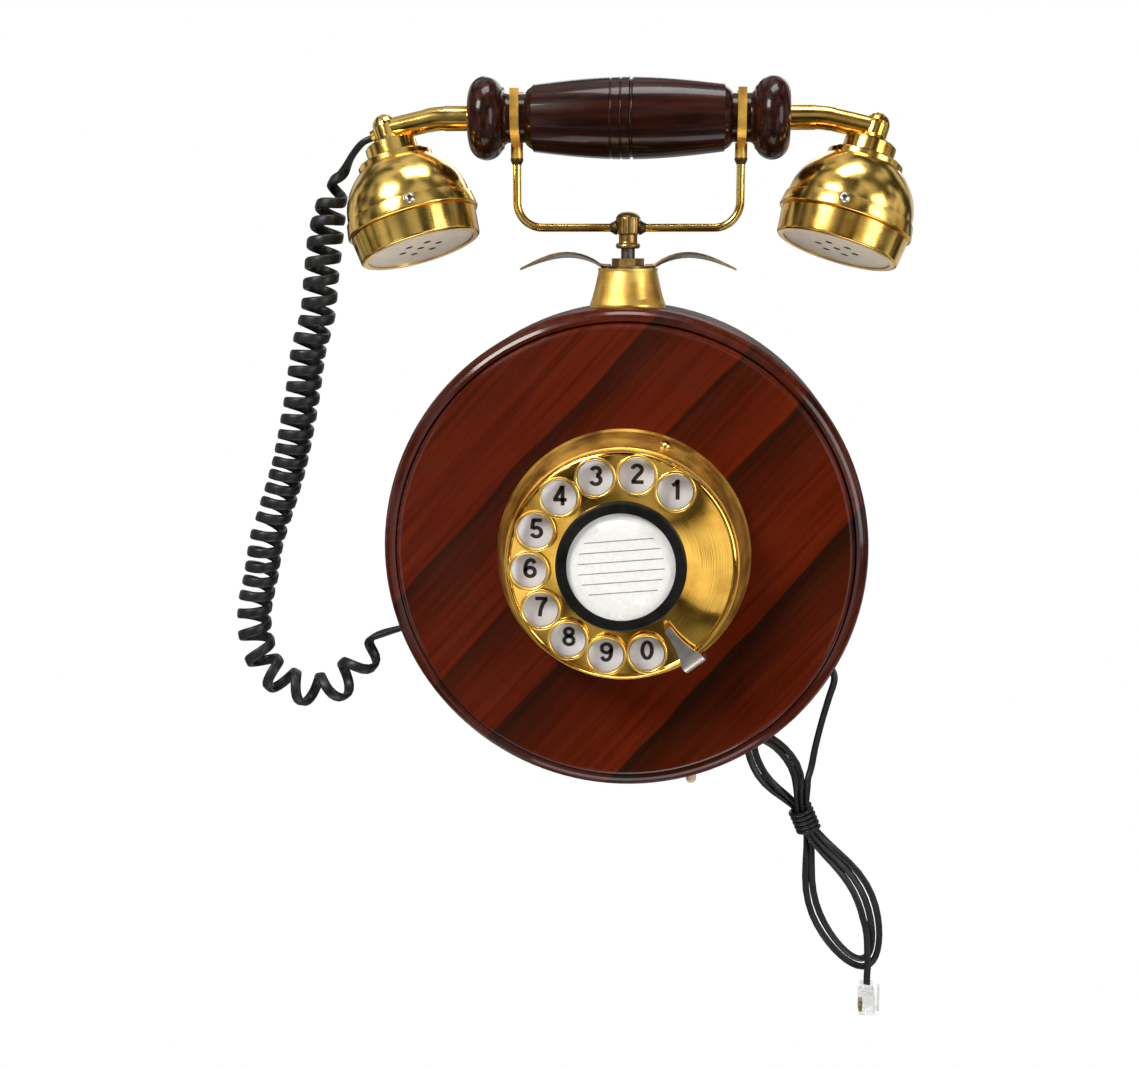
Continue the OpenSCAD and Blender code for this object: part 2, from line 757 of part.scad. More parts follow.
/* Dial: what turns */
wheel_rim_w = 1.6;
wheel_rim_h = 1;
wheel_hub_d = 16;
hole_pitch = 360 / pitches_per_turn;

module finger_hole_places() {
  for (i = [0:hole_count - 1]) rotate([0, 0, first_hole_angle + i * hole_pitch])
    translate([hole_circle_r, 0, 0]) children();
}

module finger_wheel() {
  lip_r = finger_hole_d / 2 + hole_lip_w;
  rim_centre = [wheel_r - wheel_rim_w / 2, wheel_front + wheel_rim_h - wheel_rim_w / 2];
  color(brass) front() difference() {
    union() {
      turned(concat(
        [[0, wheel_back], [wheel_r - wheel_t / 2, wheel_back]],
        arc_points(rim_centre, wheel_rim_w / 2, 0, 180, 6),
        [[wheel_r - wheel_rim_w, wheel_front], [0, wheel_front]]
      ));
      finger_hole_places() translate([0, 0, wheel_front - cut / 2])
        cylinder(r = lip_r, h = hole_lip_h + cut / 2);
      translate([0, 0, wheel_back - wheel_gap + clear]) cylinder(d = wheel_hub_d, h = wheel_gap);
    }
    finger_hole_places() translate([0, 0, wheel_back - cut])
      cylinder(d = finger_hole_d, h = wheel_t + hole_lip_h + 2 * cut);
    translate([0, 0, wheel_back - wheel_gap]) linear_extrude(wheel_gap + wheel_t + cut)
      square(shaft_square + 2 * fit, center = true);
  }
}

card_t = 0.4;
window_t = 0.8;
card_floor_t = 1.2;
card_lip = 0.8;
card_ring_round = 1;

module card_ring() {
  seat = wheel_front + card_floor_t;
  top = wheel_front + card_ring_h;
  color(black) front() turned(concat(
    [[nut_room_r, wheel_front], [card_ring_r, wheel_front]],
    arc_points([card_ring_r - card_ring_round, top - card_ring_round], card_ring_round, 0, 90, 4),
    [
      [card_r - card_lip, top], [card_r - card_lip, seat + card_t + window_t + fit],
      [card_r + fit, seat + card_t + window_t + fit], [card_r + fit, seat], [nut_room_r, seat]
    ]
  ));
}

module dial_card() {
  color(white) front() translate([0, 0, wheel_front + card_floor_t]) cylinder(r = card_r, h = card_t);
}

module card_window() {
  color("lightcyan", 0.4) front() translate([0, 0, wheel_front + card_floor_t + card_t])
    cylinder(r = card_r, h = window_t);
}

shaft_square = 0.62 * shaft_d;
shaft_pivot_d = 4;
nut_room_r = shaft_d / 2 + 0.6;

module dial_shaft() {
  main_gear_front = main_gear_back + gear_t;
  color(steel) front() {
    translate([0, 0, bridge_back - plate_t / 2])
      cylinder(d = shaft_pivot_d, h = plate_t * 1.5 + clear + cut);
    translate([0, 0, bridge_front + clear])
      cylinder(d = shaft_d, h = main_gear_back - bridge_front - clear);
    translate([0, 0, main_gear_back - cut])
      linear_extrude(gear_t + 2 * cut) square(shaft_square, center = true);
    translate([0, 0, main_gear_front])
      cylinder(d = shaft_d, h = number_plate_front + clear - main_gear_front);
    translate([0, 0, number_plate_front])
      linear_extrude(wheel_front - number_plate_front) square(shaft_square, center = true);
  }
}

module main_gear() {
  color(brass) front() translate([0, 0, main_gear_back]) linear_extrude(gear_t) difference() {
    polygon(gear_outline(main_teeth, train_module, pulse_angle));
    square(shaft_square + 2 * fit, center = true);
    for (a = [0:90:270]) rotate([0, 0, a]) translate([pitch_radius(main_teeth, train_module) * 0.58, 0])
      circle(d = pitch_radius(main_teeth, train_module) * 0.4);
  }
}

/* Pulse gear, cam and governor wheel on one shaft */
pulse_square = 0.66 * small_shaft_d;
cam_lobes = pitches_per_turn * pulse_teeth / main_teeth;

module pulse_frame() { front() translate(concat(pulse_at, 0)) children(); }

// A square hole through a piece on the pulse shaft
module pulse_square_hole() { square(pulse_square + 2 * fit, center = true); }

module pulse_shaft() {
  pulse_gear_front = pulse_gear_back + pulse_gear_t;
  color(steel) pulse_frame() {
    translate([0, 0, bridge_back]) cylinder(d = small_shaft_d, h = governor_wheel_back - bridge_back);
    translate([0, 0, governor_wheel_back - cut / 2])
      linear_extrude(pulse_gear_front - governor_wheel_back + cut) square(pulse_square, center = true);
    translate([0, 0, pulse_gear_front]) cylinder(d = small_shaft_d, h = dish_floor - pulse_gear_front);
  }
}

module pulse_gear() {
  color(brass) pulse_frame() translate([0, 0, pulse_gear_back]) linear_extrude(pulse_gear_t) difference() {
    polygon(gear_outline(pulse_teeth, train_module, pulse_angle + 180 + 180 / pulse_teeth));
    pulse_square_hole();
  }
}

module pulse_cam() {
  color(black) pulse_frame() translate([0, 0, cam_back]) linear_extrude(cam_t) difference() {
    intersection() {
      circle(r = cam_r);
      union() {
        circle(r = cam_r * 0.72);
        for (i = [0:cam_lobes - 1]) rotate([0, 0, 360 * i / cam_lobes]) translate([0, -cam_r * 0.3])
          square([cam_r + cut, cam_r * 0.6]);
      }
    }
    pulse_square_hole();
  }
}

module governor_wheel() {
  color(brass) pulse_frame() translate([0, 0, governor_wheel_back])
    linear_extrude(governor_wheel_t) difference() {
      polygon(gear_outline(governor_wheel_teeth, governor_module, governor_angle));
      pulse_square_hole();
    }
}

/* Governor */
weight_gap = 0.8;
weight_hub_d = small_shaft_d + 2.4;
weight_r = 3;
weight_arm_w = 2;
pinion_overlap = 0.4;
weight_back = bridge_front + governor_cup_wall + weight_gap;
weight_h = governor_cup_h - governor_cup_wall - 2 * weight_gap;
weight_room_r = governor_cup_d / 2 - governor_cup_wall - weight_gap;

module governor_frame() { front() translate(concat(governor_at, 0)) children(); }

module governor_shaft() {
  pinion_turn = governor_angle + 180 + 180 / governor_teeth;
  color(steel) governor_frame() {
    translate([0, 0, bridge_back]) cylinder(d = small_shaft_d, h = dish_floor - bridge_back);
    translate([0, 0, governor_wheel_back - pinion_overlap])
      linear_extrude(governor_wheel_t + 2 * pinion_overlap)
        polygon(gear_outline(governor_teeth, governor_module, pinion_turn));
  }
}

module governor_weights() {
  color(brass) governor_frame() translate([0, 0, weight_back]) linear_extrude(weight_h) difference() {
    intersection() {
      circle(r = weight_room_r);
      union() {
        circle(d = weight_hub_d);
        square([2 * weight_room_r, weight_arm_w], center = true);
        for (side = [-1, 1]) translate([side * weight_room_r, 0]) circle(r = weight_r);
      }
    }
    circle(d = small_shaft_d + 2 * fit);
  }
}

/* Cradle: what stands still */
cone_top = case_r + cone_h;
wing_root = cone_top;
nut_base = cone_top + wing_t;
nut_top = nut_base + nut_h;
bush_flange_d = 18;
bush_flange_t = 2.5;
bush_flange_top = sqrt(pow(case_inner_r, 2) - pow(bush_flange_d / 2, 2)) - fit;
bracket_t = 1.6;
bracket_top = bush_flange_top - bush_flange_t;
locknut_h = 3.5;
locknut_d = 15;
bush_bottom = bracket_top - bracket_t - locknut_h;

cone_foot_h = 0.6;
cone_lip_h = 0.8;
cone_lip = 0.3;
cone_hollow = 0.8;

module cradle_axis() { translate([0, -cradle_out, 0]) children(); }

module cradle_cone() {
  base_r = cone_base_d / 2;
  top_r = cone_top_d / 2;
  foot = sqrt(pow(case_r, 2) - pow(base_r, 2)) - cut;
  curve_low = case_r + cone_foot_h;
  curve_high = cone_top - cone_lip_h;
  color(brass) difference() {
    cradle_axis() turned(concat(
      [[bush_d / 2 + fit, foot], [base_r, foot]],
      [for (i = [0:6]) let (u = i / 6)
        [base_r + (top_r - base_r) * pow(u, cone_hollow), curve_low + (curve_high - curve_low) * u]],
      [[top_r + cone_lip, curve_high], [top_r + cone_lip, cone_top], [bush_d / 2 + fit, cone_top]]
    ));
    rotate([90, 0, 0]) cylinder(r = case_r + fit, h = case_depth);
  }
}

wing_root_x = cone_top_d / 2 - 1;
wing_ring_r = nut_d / 2 + 2.6;
wing_steps = 12;
wing_tip_dip = 0.32;
wing_root_share = 0.35;
wing_twist = 9;

// Height of a leaf wing's underside along its length
function wing_lift(u) = wing_rise * (sin(180 * pow(u, 0.85)) - wing_tip_dip * u * u);

// Half the width of a leaf wing along its length
function wing_half(u) =
  wing_w / 2 * (wing_root_share + (1 - wing_root_share) * sin(180 * pow(u, 0.9))) * (1 - pow(u, 6));

module leaf_wing() {
  span = wing_reach - wing_root_x;
  start = nut_d / 2 + clear;
  lift = 0.3 * wing_w * sin(wing_twist);
  shares = [for (i = [0:wing_steps]) i / wing_steps];
  line = [for (u = shares) [wing_root_x + span * u, wing_lift(u)]];
  edge = [for (u = shares) [start + (wing_reach - start) * u, wing_half(u)]];
  // Twisted so that its front edge stands higher
  translate([0, 0, wing_root + lift]) rotate([-wing_twist, 0, 0]) intersection() {
    translate([0, wing_w, 0]) rotate([90, 0, 0]) linear_extrude(2 * wing_w) polygon(concat(
      [[start, 0]], line,
      [for (i = [wing_steps:-1:0]) line[i] + [0, wing_t]], [[start, wing_t]]
    ));
    translate([0, 0, -wing_rise]) linear_extrude(4 * wing_rise) polygon(concat(
      edge,
      [for (i = [wing_steps - 1:-1:0]) [edge[i].x, -edge[i].y]]
    ));
  }
}

module leaf_wings() {
  color(brass) cradle_axis() difference() {
    union() {
      translate([0, 0, wing_root]) cylinder(r = wing_ring_r, h = wing_t);
      leaf_wing();
      mirror([1, 0, 0]) leaf_wing();
    }
    cylinder(d = bush_d + 2 * fit, h = nut_top);
  }
}

module cradle_nut() {
  color(brass) cradle_axis() difference() {
    translate([0, 0, nut_base]) cylinder(d = nut_d, h = nut_h, $fn = 12);
    cylinder(d = bush_d + 2 * fit, h = nut_top + cut);
  }
}

module plunger_bush() {
  color(brass) cradle_axis() difference() {
    union() {
      translate([0, 0, bush_bottom]) cylinder(d = bush_d, h = nut_top - bush_bottom);
      translate([0, 0, bracket_top]) cylinder(d = bush_flange_d, h = bush_flange_t);
    }
    translate([0, 0, bush_bottom - cut])
      cylinder(d = plunger_d + 2 * run_fit, h = nut_top - bush_bottom + 2 * cut);
  }
}

module bush_locknut() {
  color(brass) cradle_axis() translate([0, 0, bush_bottom]) difference() {
    cylinder(d = locknut_d, h = locknut_h, $fn = 6);
    translate([0, 0, -cut]) cylinder(d = bush_d + 2 * fit, h = locknut_h + 2 * cut);
  }
}

// The hook switch hangs from the bush on a bent bracket
bracket_w = 16;
bracket_x = 13;
collar_d = 12;
collar_t = 2;
collar_top = bush_bottom - hook_travel - clear;
spring_h = 14;
spring_d = 10;
spring_wire = 1;
spring_turns = 6;
bracket_floor = collar_top - collar_t - spring_h;
plunger_bottom = bracket_floor - bracket_t - 4;

module hook_switch_bracket() {
  color(steel) cradle_axis() difference() {
    union() {
      translate([-bracket_x, -bracket_w / 2, bracket_top - bracket_t])
        cube([2 * bracket_x, bracket_w, bracket_t]);
      translate([-bracket_x, -bracket_w / 2, bracket_floor - bracket_t])
        cube([bracket_t, bracket_w, bracket_top - bracket_floor + bracket_t]);
      translate([-bracket_x, -bracket_w / 2, bracket_floor - bracket_t])
        cube([bracket_x + bush_d, bracket_w, bracket_t]);
    }
    translate([0, 0, bracket_top - bracket_t - cut])
      cylinder(d = bush_d + 2 * fit, h = bracket_t + 2 * cut);
    translate([0, 0, bracket_floor - bracket_t - cut])
      cylinder(d = plunger_d + 2 * run_fit, h = bracket_t + 2 * cut);
  }
}

// Contact springs that the plunger's collar presses
hook_contact_t = 0.4;
hook_contact_gap = 1.6;
hook_contact_w = 6;
hook_contact_count = 3;

module hook_switch_contacts() {
  pitch = hook_contact_t + hook_contact_gap;
  block_h = hook_contact_count * pitch;
  top = collar_top - collar_t - clear;
  reach = bracket_x - bracket_t - spring_d / 2 - 2 * clear;
  color(brass) cradle_axis() translate([-bracket_x + bracket_t, -hook_contact_w / 2, top]) {
    for (i = [0:hook_contact_count - 1]) translate([0, 0, -i * pitch - hook_contact_t])
      cube([reach, hook_contact_w, hook_contact_t]);
    translate([0, 0, -block_h]) cube([reach / 2, hook_contact_w, block_h]);
  }
}

spring_rings = 12;

module hook_spring() {
  r = (spring_d - spring_wire) / 2;
  low = bracket_floor + spring_wire / 2 + fit;
  rise = spring_h - spring_wire - 2 * fit;
  path = [for (i = [0:spring_turns * spring_rings]) let (t = i / spring_rings)
    [r * cos(360 * t), r * sin(360 * t), low + rise * t / spring_turns]];
  color(steel) cradle_axis() tube_along(path, spring_wire, 6, [1, 0, 0]);
}

/* Cradle: what rises with the handset off */
thimble_base = nut_top + plunger_show;
thimble_top = thimble_base + thimble_h;
fork_rise = 8.2;
fork_up = thimble_base + fork_rise;
flange_h = 2.2;
barrel_d = 0.75 * thimble_d;
plunger_in = 5;

module plunger_rod() {
  color("#4a4540") cradle_axis() {
    translate([0, 0, plunger_bottom])
      cylinder(d = plunger_d, h = thimble_base + plunger_in - plunger_bottom);
    translate([0, 0, collar_top - collar_t]) cylinder(d = collar_d, h = collar_t);
  }
}

bulb_low = thimble_base + 6;
bulb_high = thimble_top - 3;
thimble_edge = 0.6;
flute_d = 1;
flute_offset = 0.25;

module cradle_thimble() {
  bulb_r = thimble_d / 2;
  color(brass) cradle_axis() difference() {
    turned(concat(
      [[0, thimble_base], [bulb_r - thimble_edge, thimble_base]],
      arc_points([bulb_r - flange_h / 2, thimble_base + flange_h / 2], flange_h / 2, -90, 90, 6),
      [
        [barrel_d / 2, thimble_base + flange_h + thimble_edge],
        [barrel_d / 2, bulb_low - thimble_edge],
        [bulb_r, bulb_low], [bulb_r, bulb_high]
      ],
      [for (a = [15:15:90]) [bulb_r * cos(a), bulb_high + (thimble_top - bulb_high) * sin(a)]]
    ));
    // Flutes round the bulb
    ring_of(flute_count, bulb_r + flute_offset) translate([0, 0, bulb_low - cut])
      cylinder(d = flute_d, h = bulb_high - bulb_low + 1.5 * cut);
    translate([0, 0, thimble_base - cut]) cylinder(d = plunger_d + 2 * fit, h = plunger_in + cut);
    translate([0, 0, fork_up]) rotate([0, 90, 0])
      cylinder(d = fork_d + 2 * fit, h = 2 * thimble_d, center = true);
  }
}

saddle_room = 0.6;
saddle_r = neck_r + saddle_room;
saddle_axis = handset_up + clear;
socket_d = fork_d + 1.5;
socket_h = 5;
saddle_bottom = saddle_axis - saddle_r - saddle_t;
fork_end = saddle_bottom - 0.2;

module fork_rod() {
  color(brass) cradle_axis() {
    translate([0, 0, fork_up]) rotate([0, 90, 0])
      cylinder(d = fork_d, h = 2 * (fork_reach - fork_bend), center = true);
    for (side = [0, 1]) mirror([side, 0, 0]) {
      translate([fork_reach - fork_bend, 0, fork_up + fork_bend]) rotate([90, 0, 0]) rotate([0, 0, -90])
        rotate_extrude(angle = 90) translate([fork_bend, 0]) circle(d = fork_d);
      translate([fork_reach, 0, fork_up + fork_bend])
        cylinder(d = fork_d, h = fork_end - fork_up - fork_bend);
    }
  }
}

module saddle() {
  outer_r = saddle_r + saddle_t;
  cradle_axis() translate([fork_reach, 0, saddle_axis]) difference() {
    union() {
      rotate([0, 90, 0]) cylinder(r = outer_r, h = saddle_w, center = true);
      translate([-saddle_w / 2, -outer_r, 0]) cube([saddle_w, 2 * outer_r, prong_h]);
      translate([0, 0, -outer_r - socket_h]) cylinder(d = socket_d, h = socket_h + saddle_t);
    }
    rotate([0, 90, 0]) cylinder(r = saddle_r, h = socket_d + cut, center = true);
    translate([-socket_d, -saddle_r, 0]) cube([2 * socket_d, 2 * saddle_r, outer_r + prong_h]);
    translate([0, 0, -outer_r - socket_h - cut]) cylinder(d = fork_d + 2 * fit, h = socket_h + cut);
  }
}

module saddles() {
  color(brass) for (side = [0, 1]) mirror([side, 0, 0]) saddle();
}

/* Handset */
// Turns a point in the handset's own frame into a point of the part
function handset_point(p) = [
  p.x,
  -cradle_out + p.y * cos(handset_roll) + p.z * sin(handset_roll),
  handset_up - p.y * sin(handset_roll) + p.z * cos(handset_roll)
];

module handset_frame() {
  translate([0, -cradle_out, handset_up]) rotate([-handset_roll, 0, 0]) children();
}

grip_half = fork_reach + grip_past;
barrel_half = fork_reach - barrel_short;
knob_in = grip_half - knob_w;
knob_fillet = 2.4;
neck_run = 3;
barrel_edge = 0.6;
groove_places = [-6.8, -2.9, 1.2];
groove_sizes = [0.9, 0.9, 1.5];
wire_bore_d = 5;
tube_socket = 14;

// Half of the grip's outline, from its middle to its end
function grip_side() = concat(
  [for (u = [0:0.125:1]) [barrel_half * u, barrel_end_r + (barrel_r - barrel_end_r) * cos(90 * u)]],
  [for (u = [0.2:0.2:1])
    [barrel_half + neck_run * sin(90 * u), neck_r + (barrel_end_r - barrel_edge - neck_r) * (1 - u)]],
  [for (a = [0:18:90]) [knob_in - knob_fillet * (1 - sin(a)), neck_r + knob_fillet * (1 - cos(a))]],
  [for (i = [0:10]) let (a = 150 - 15 * i)
    [knob_in + knob_w / 2 + knob_w / 2 * cos(a), knob_r - knob_w / 2 + knob_w / 2 * sin(a)]]
);

module grip() {
  half = grip_side();
  n = len(half);
  color(dark_wood) handset_frame() difference() {
    rotate([0, 90, 0]) rotate_extrude() polygon(concat(
      [[0, -half[n - 1].x]],
      [for (i = [n - 1:-1:1]) [half[i].y, -half[i].x]],
      [for (p = half) [p.y, p.x]],
      [[0, half[n - 1].x]]
    ));
    for (i = [0:len(groove_places) - 1]) translate([groove_places[i], 0, 0]) rotate([0, 90, 0])
      rotate_extrude() translate([barrel_r, 0]) circle(d = groove_sizes[i], $fn = 16);
    rotate([0, 90, 0]) cylinder(d = wire_bore_d, h = 3 * grip_half, center = true);
    for (side = [-1, 1]) translate([side * grip_half, 0, 0]) rotate([0, 90, 0])
      cylinder(d = tube_d + 2 * fit, h = 2 * tube_socket, center = true);
  }
}

// Bell frame: from the middle of the bell's face, local z up its axis
module bell_frame() { translate([bell_reach, 0, -bell_drop]) rotate([0, bell_tilt, 0]) children(); }

function bell_axis_point(h) = [bell_reach + h * sin(bell_tilt), 0, -bell_drop + h * cos(bell_tilt)];

collar_h = 6.5;
collar_r = 10.2;
shoulder_r = 14.9;
shoulder_h = 3;
band_lip = 0.8;
band_taper = 0.8;
band_run = band_h - 1.5 * band_lip;
bell_top = cap_h + bell_h;
post_d = tube_d + 1;
post_h = 7;
post_flare = 1.5;
post_flare_h = 2.5;
post_bore_d = 4;
arm_straight = 9.5;
arm_sleeve = 0.8;
arm_bend_r = 30;
arm_lap = 2;
arm_meets = bell_axis_point(bell_top + post_h - 1.6);
arm_bend_x = grip_half + arm_straight;
spigot_d = 5;
spigot_base = bell_axis_point(bell_top + post_h - 1);
spigot_way = unit([0.84, 0.3, -0.4]);
spigot_len = post_d / 2 + 1.2;

// A cylinder between two points
module rod_between(a, b, d) {
  v = b - a;
  translate(a) rotate([0, acos(v.z / norm(v)), atan2(v.y, v.x)]) cylinder(d = d, h = norm(v));
}

// The arm's tube: out of the grip, then bent down to the post
module arm_tube() {
  run = arm_meets.x - arm_bend_x;
  rise = arm_meets.z + arm_bend_r;
  bend = atan2(run, rise) - acos(arm_bend_r / norm([run, rise]));
  bend_end = [arm_bend_x + arm_bend_r * sin(bend), 0, arm_bend_r * (cos(bend) - 1)];
  way = [cos(bend), 0, -sin(bend)];
  rod_between([grip_half - tube_socket + clear, 0, 0], [arm_bend_x + arm_lap, 0, 0], tube_d);
  rod_between([grip_half + fit, 0, 0], [arm_bend_x + clear, 0, 0], tube_d + arm_sleeve);
  translate([arm_bend_x, 0, -arm_bend_r]) rotate([90, 0, 0]) rotate([0, 0, 90 - bend])
    rotate_extrude(angle = bend) translate([arm_bend_r, 0]) circle(d = tube_d + clear);
  rod_between(bend_end - arm_lap * way, arm_meets, tube_d);
}

// The post that joins the arm's tube to the bell
module arm_post() {
  bell_frame() translate([0, 0, bell_top]) turned(concat(
    [[0, 0], [post_d / 2 + post_flare, 0], [post_d / 2, post_flare_h]],
    arc_points([0, post_h], post_d / 2, 0, 90, 6)
  ));
}

module arm() {
  arm_tube();
  arm_post();
}

module arm_left() {
  color(brass) handset_frame() mirror([1, 0, 0]) {
    arm();
    // Spigot for the curly cord
    rod_between(spigot_base, spigot_base + spigot_len * spigot_way, spigot_d);
  }
}

module arm_right() { color(brass) handset_frame() arm(); }

dome_steps = 8;
dome_low = cap_h + band_h;
dome_high = bell_top - collar_h - shoulder_h;
dome_base_r = bell_r - band_taper - 0.9;
dome_top_r = shoulder_r + 0.5;
bell_edge = 0.6;

// Radius and height of the dome at a share of its height
function dome_point(u, inset) = [
  dome_top_r - inset + (dome_base_r - dome_top_r) * cos(90 * u),
  dome_low + (dome_high - dome_low) * sin(90 * u) * 0.35 + (dome_high - dome_low) * u * 0.65
];

module bell() {
  inner_top = bell_top - collar_h - bell_wall;
  shoulder_top = dome_high + shoulder_h;
  bell_frame() difference() {
    turned(concat(
      [[bell_r - 2 * bell_wall, cap_h]],
      arc_points([bell_r - band_lip, cap_h + band_lip], band_lip, -80, 0, 4),
      [[bell_r - band_taper, dome_low - band_lip / 2], [dome_base_r, dome_low - band_lip / 2]],
      [for (i = [0:dome_steps]) dome_point(i / dome_steps, 0)],
      [
        [shoulder_r, dome_high + bell_edge], [shoulder_r, shoulder_top - bell_edge],
        [shoulder_r - bell_edge, shoulder_top], [collar_r + bell_edge, shoulder_top],
        [collar_r, shoulder_top + bell_edge], [collar_r, bell_top - bell_edge],
        [collar_r - bell_edge, bell_top], [post_bore_d / 2, bell_top],
        [post_bore_d / 2, inner_top], [shoulder_r - 2 * bell_wall, inner_top]
      ],
      [for (i = [dome_steps:-1:0]) dome_point(i / dome_steps, 1.4 * bell_wall)]
    ));
    bell_screw_place() rotate([0, 0, 45])
      cylinder(d = bell_screw_d + 2 * fit, h = 4 * bell_screw_len, center = true);
  }
}

bell_screw_d = 2.2;
bell_screw_len = 4;
bell_screw_share = 0.6;
bell_screw_angle = 8;

// The bell's screw faces the front, with local z outward
module bell_screw_place() {
  up = cap_h + band_lip + bell_screw_share * band_run;
  rotate([0, 0, -bell_screw_angle]) translate([0, bell_screw_share * band_taper - bell_r, up])
    rotate([90 - atan(band_taper / band_run), 0, 0]) children();
}

module bell_left() { color(brass) handset_frame() mirror([1, 0, 0]) bell(); }

module bell_right() { color(brass) handset_frame() bell(); }

cap_top_r = bell_r - 1.2;
cap_low_r = bell_r - 2.2;
cap_lip_r = bell_r - 5;
cap_lip_t = 1.6;
cap_wall = 1.4;
cap_round = 1;
grille_t = 2;

module bell_cap() {
  bell_frame() turned(concat(
    [[cap_lip_r, 0], [cap_low_r - cap_round, 0]],
    arc_points([cap_low_r - cap_round, cap_round], cap_round, -90, 0, 4),
    [
      [cap_top_r, cap_h - bell_edge], [cap_top_r - bell_edge, cap_h],
      [cap_top_r - bell_edge - cap_wall, cap_h],
      [cap_low_r - cap_wall, cap_lip_t],
      [cap_lip_r, cap_lip_t]
    ]
  ));
}

module bell_caps() {
  color(brass) handset_frame() {
    bell_cap();
    mirror([1, 0, 0]) bell_cap();
  }
}

grille_ring_r = 7.4;
grille_sink = 0.6;

module grille() {
  bell_frame() difference() {
    union() {
      translate([0, 0, cap_lip_t + fit]) cylinder(r = cap_low_r - cap_wall - fit, h = grille_t);
      translate([0, 0, grille_sink]) cylinder(r = cap_lip_r - fit, h = grille_t);
    }
    translate([0, 0, -cut]) {
      cylinder(d = grille_hole_d, h = 3 * grille_t);
      ring_of(grille_holes, grille_ring_r) cylinder(d = grille_hole_d, h = 3 * grille_t);
    }
  }
}

module grilles() {
  color(white) handset_frame() {
    grille();
    mirror([1, 0, 0]) grille();
  }
}

capsule_r = bell_r - 5.2;
capsule_h = 9;
capsule_step = 3;
capsule_edge = 1;
capsule_back_r = capsule_r - 5;
capsule_base = cap_lip_t + fit + grille_t + fit;

module capsule() {
  bell_frame() translate([0, 0, capsule_base]) turned([
    [0, 0], [capsule_r, 0], [capsule_r, capsule_step], [capsule_back_r, capsule_step + capsule_edge],
    [capsule_back_r, capsule_h - capsule_edge], [capsule_back_r - capsule_edge, capsule_h], [0, capsule_h]
  ]);
}

module receiver_capsule() { color(steel) handset_frame() capsule(); }

module transmitter_capsule() { color(black) handset_frame() mirror([1, 0, 0]) capsule(); }

module bell_screws() {
  color(steel) handset_frame() for (side = [0, 1]) mirror([side, 0, 0])
    bell_frame() bell_screw_place() pan_screw(bell_screw_d, bell_screw_len);
}

/* Ringer button and switch */
button_wall_low = sqrt(pow(case_r, 2) - pow(button_x, 2));
button_wall_high = sqrt(pow(case_inner_r, 2) - pow(button_x + button_d, 2));
button_tip = -button_wall_low - button_show;
button_flange_d = button_d + 3;
button_flange_t = 1.5;
button_rest_gap = 1.5;
button_flange_low = -button_wall_high + button_rest_gap;
button_stem = 4;
switch_low = button_flange_low + button_flange_t + button_travel + clear;
switch_w = 12;
switch_l = 16;
switch_h = 9;
switch_stand = 3;

module ringer_button() {
  color(white) translate([button_x, -cradle_out, 0]) {
    translate([0, 0, button_tip + button_d / 2]) {
      sphere(d = button_d);
      cylinder(d = button_d, h = button_flange_low + button_flange_t - button_tip - button_d / 2);
    }
    translate([0, 0, button_flange_low]) cylinder(d = button_flange_d, h = button_flange_t);
    translate([0, 0, button_flange_low]) cylinder(d = button_d / 2, h = button_flange_t + button_stem);
  }
}

module ringer_switch() {
  room = case_inner_r + cut;
  color(black) difference() {
    translate([button_x, -cradle_out, 0]) union() {
      translate([-switch_l / 2, -switch_w / 2, switch_low]) cube([switch_l, switch_w, switch_h]);
      // Feet that stand on the case's inner wall
      for (x = [-switch_l / 2, switch_l / 2 - switch_stand]) translate([x, -switch_w / 2, -room])
        cube([switch_stand, switch_w, room + switch_low + cut]);
    }
    // The feet follow the round wall
    rotate([90, 0, 0]) difference() {
      translate([0, -2 * case_r, 0]) cylinder(r = 4 * case_r, h = 2 * case_depth, center = true);
      cylinder(r = case_inner_r - fit, h = 3 * case_depth, center = true);
    }
    translate([button_x, -cradle_out, switch_low - cut])
      cylinder(d = button_d / 2 + 2 * run_fit, h = button_stem + button_travel + cut);
  }
}

/* Circuit board and sounder on the rear cover */
board_w = 70;
board_h = 40;
board_t = 1.6;
board_up = -38;
board_stand = 6;
board_screw_d = 2.6;
board_post_d = 6;
board_screw_x = [-board_w / 2 + 5, board_w / 2 - 5];
board_screw_z = [board_up - board_h / 2 + 5, board_up + board_h / 2 - 5];
board_back = cover_t + board_stand;
// Line transformer, capacitors, relay and terminal block
transformer_at = [-26, -8];
transformer_size = [20, 18, 13];
capacitor_x = [4, 14];
capacitor_up = -6;
capacitor_d = 8;
capacitor_h = 11;
relay_at = [-4, 4];
relay_size = [16, 8, 9];
terminal_at = [20, -12];
terminal_size = [8, 24, 8];

module circuit_board() {
  top = board_back + board_t;
  color("darkgreen") front() {
    translate([-board_w / 2, board_up - board_h / 2, board_back]) cube([board_w, board_h, board_t]);
    for (x = board_screw_x, z = board_screw_z) translate([x, z, cover_t]) {
      cylinder(d = board_post_d, h = board_stand + fit);
      translate([0, 0, -cover_t / 2 + 2 * fit]) cylinder(d = board_screw_d, h = cover_t);
    }
    translate(concat(transformer_at + [0, board_up], top - fit)) cube(transformer_size);
    for (x = capacitor_x) translate([x, board_up + capacitor_up, top - fit])
      cylinder(d = capacitor_d, h = capacitor_h);
    translate(concat(relay_at + [0, board_up], top - fit)) cube(relay_size);
    translate(concat(terminal_at + [0, board_up], top - fit)) cube(terminal_size);
  }
}

sounder_d = 30;
sounder_h = 9;
sounder_at = [38, 18];
sounder_port_d = 4;

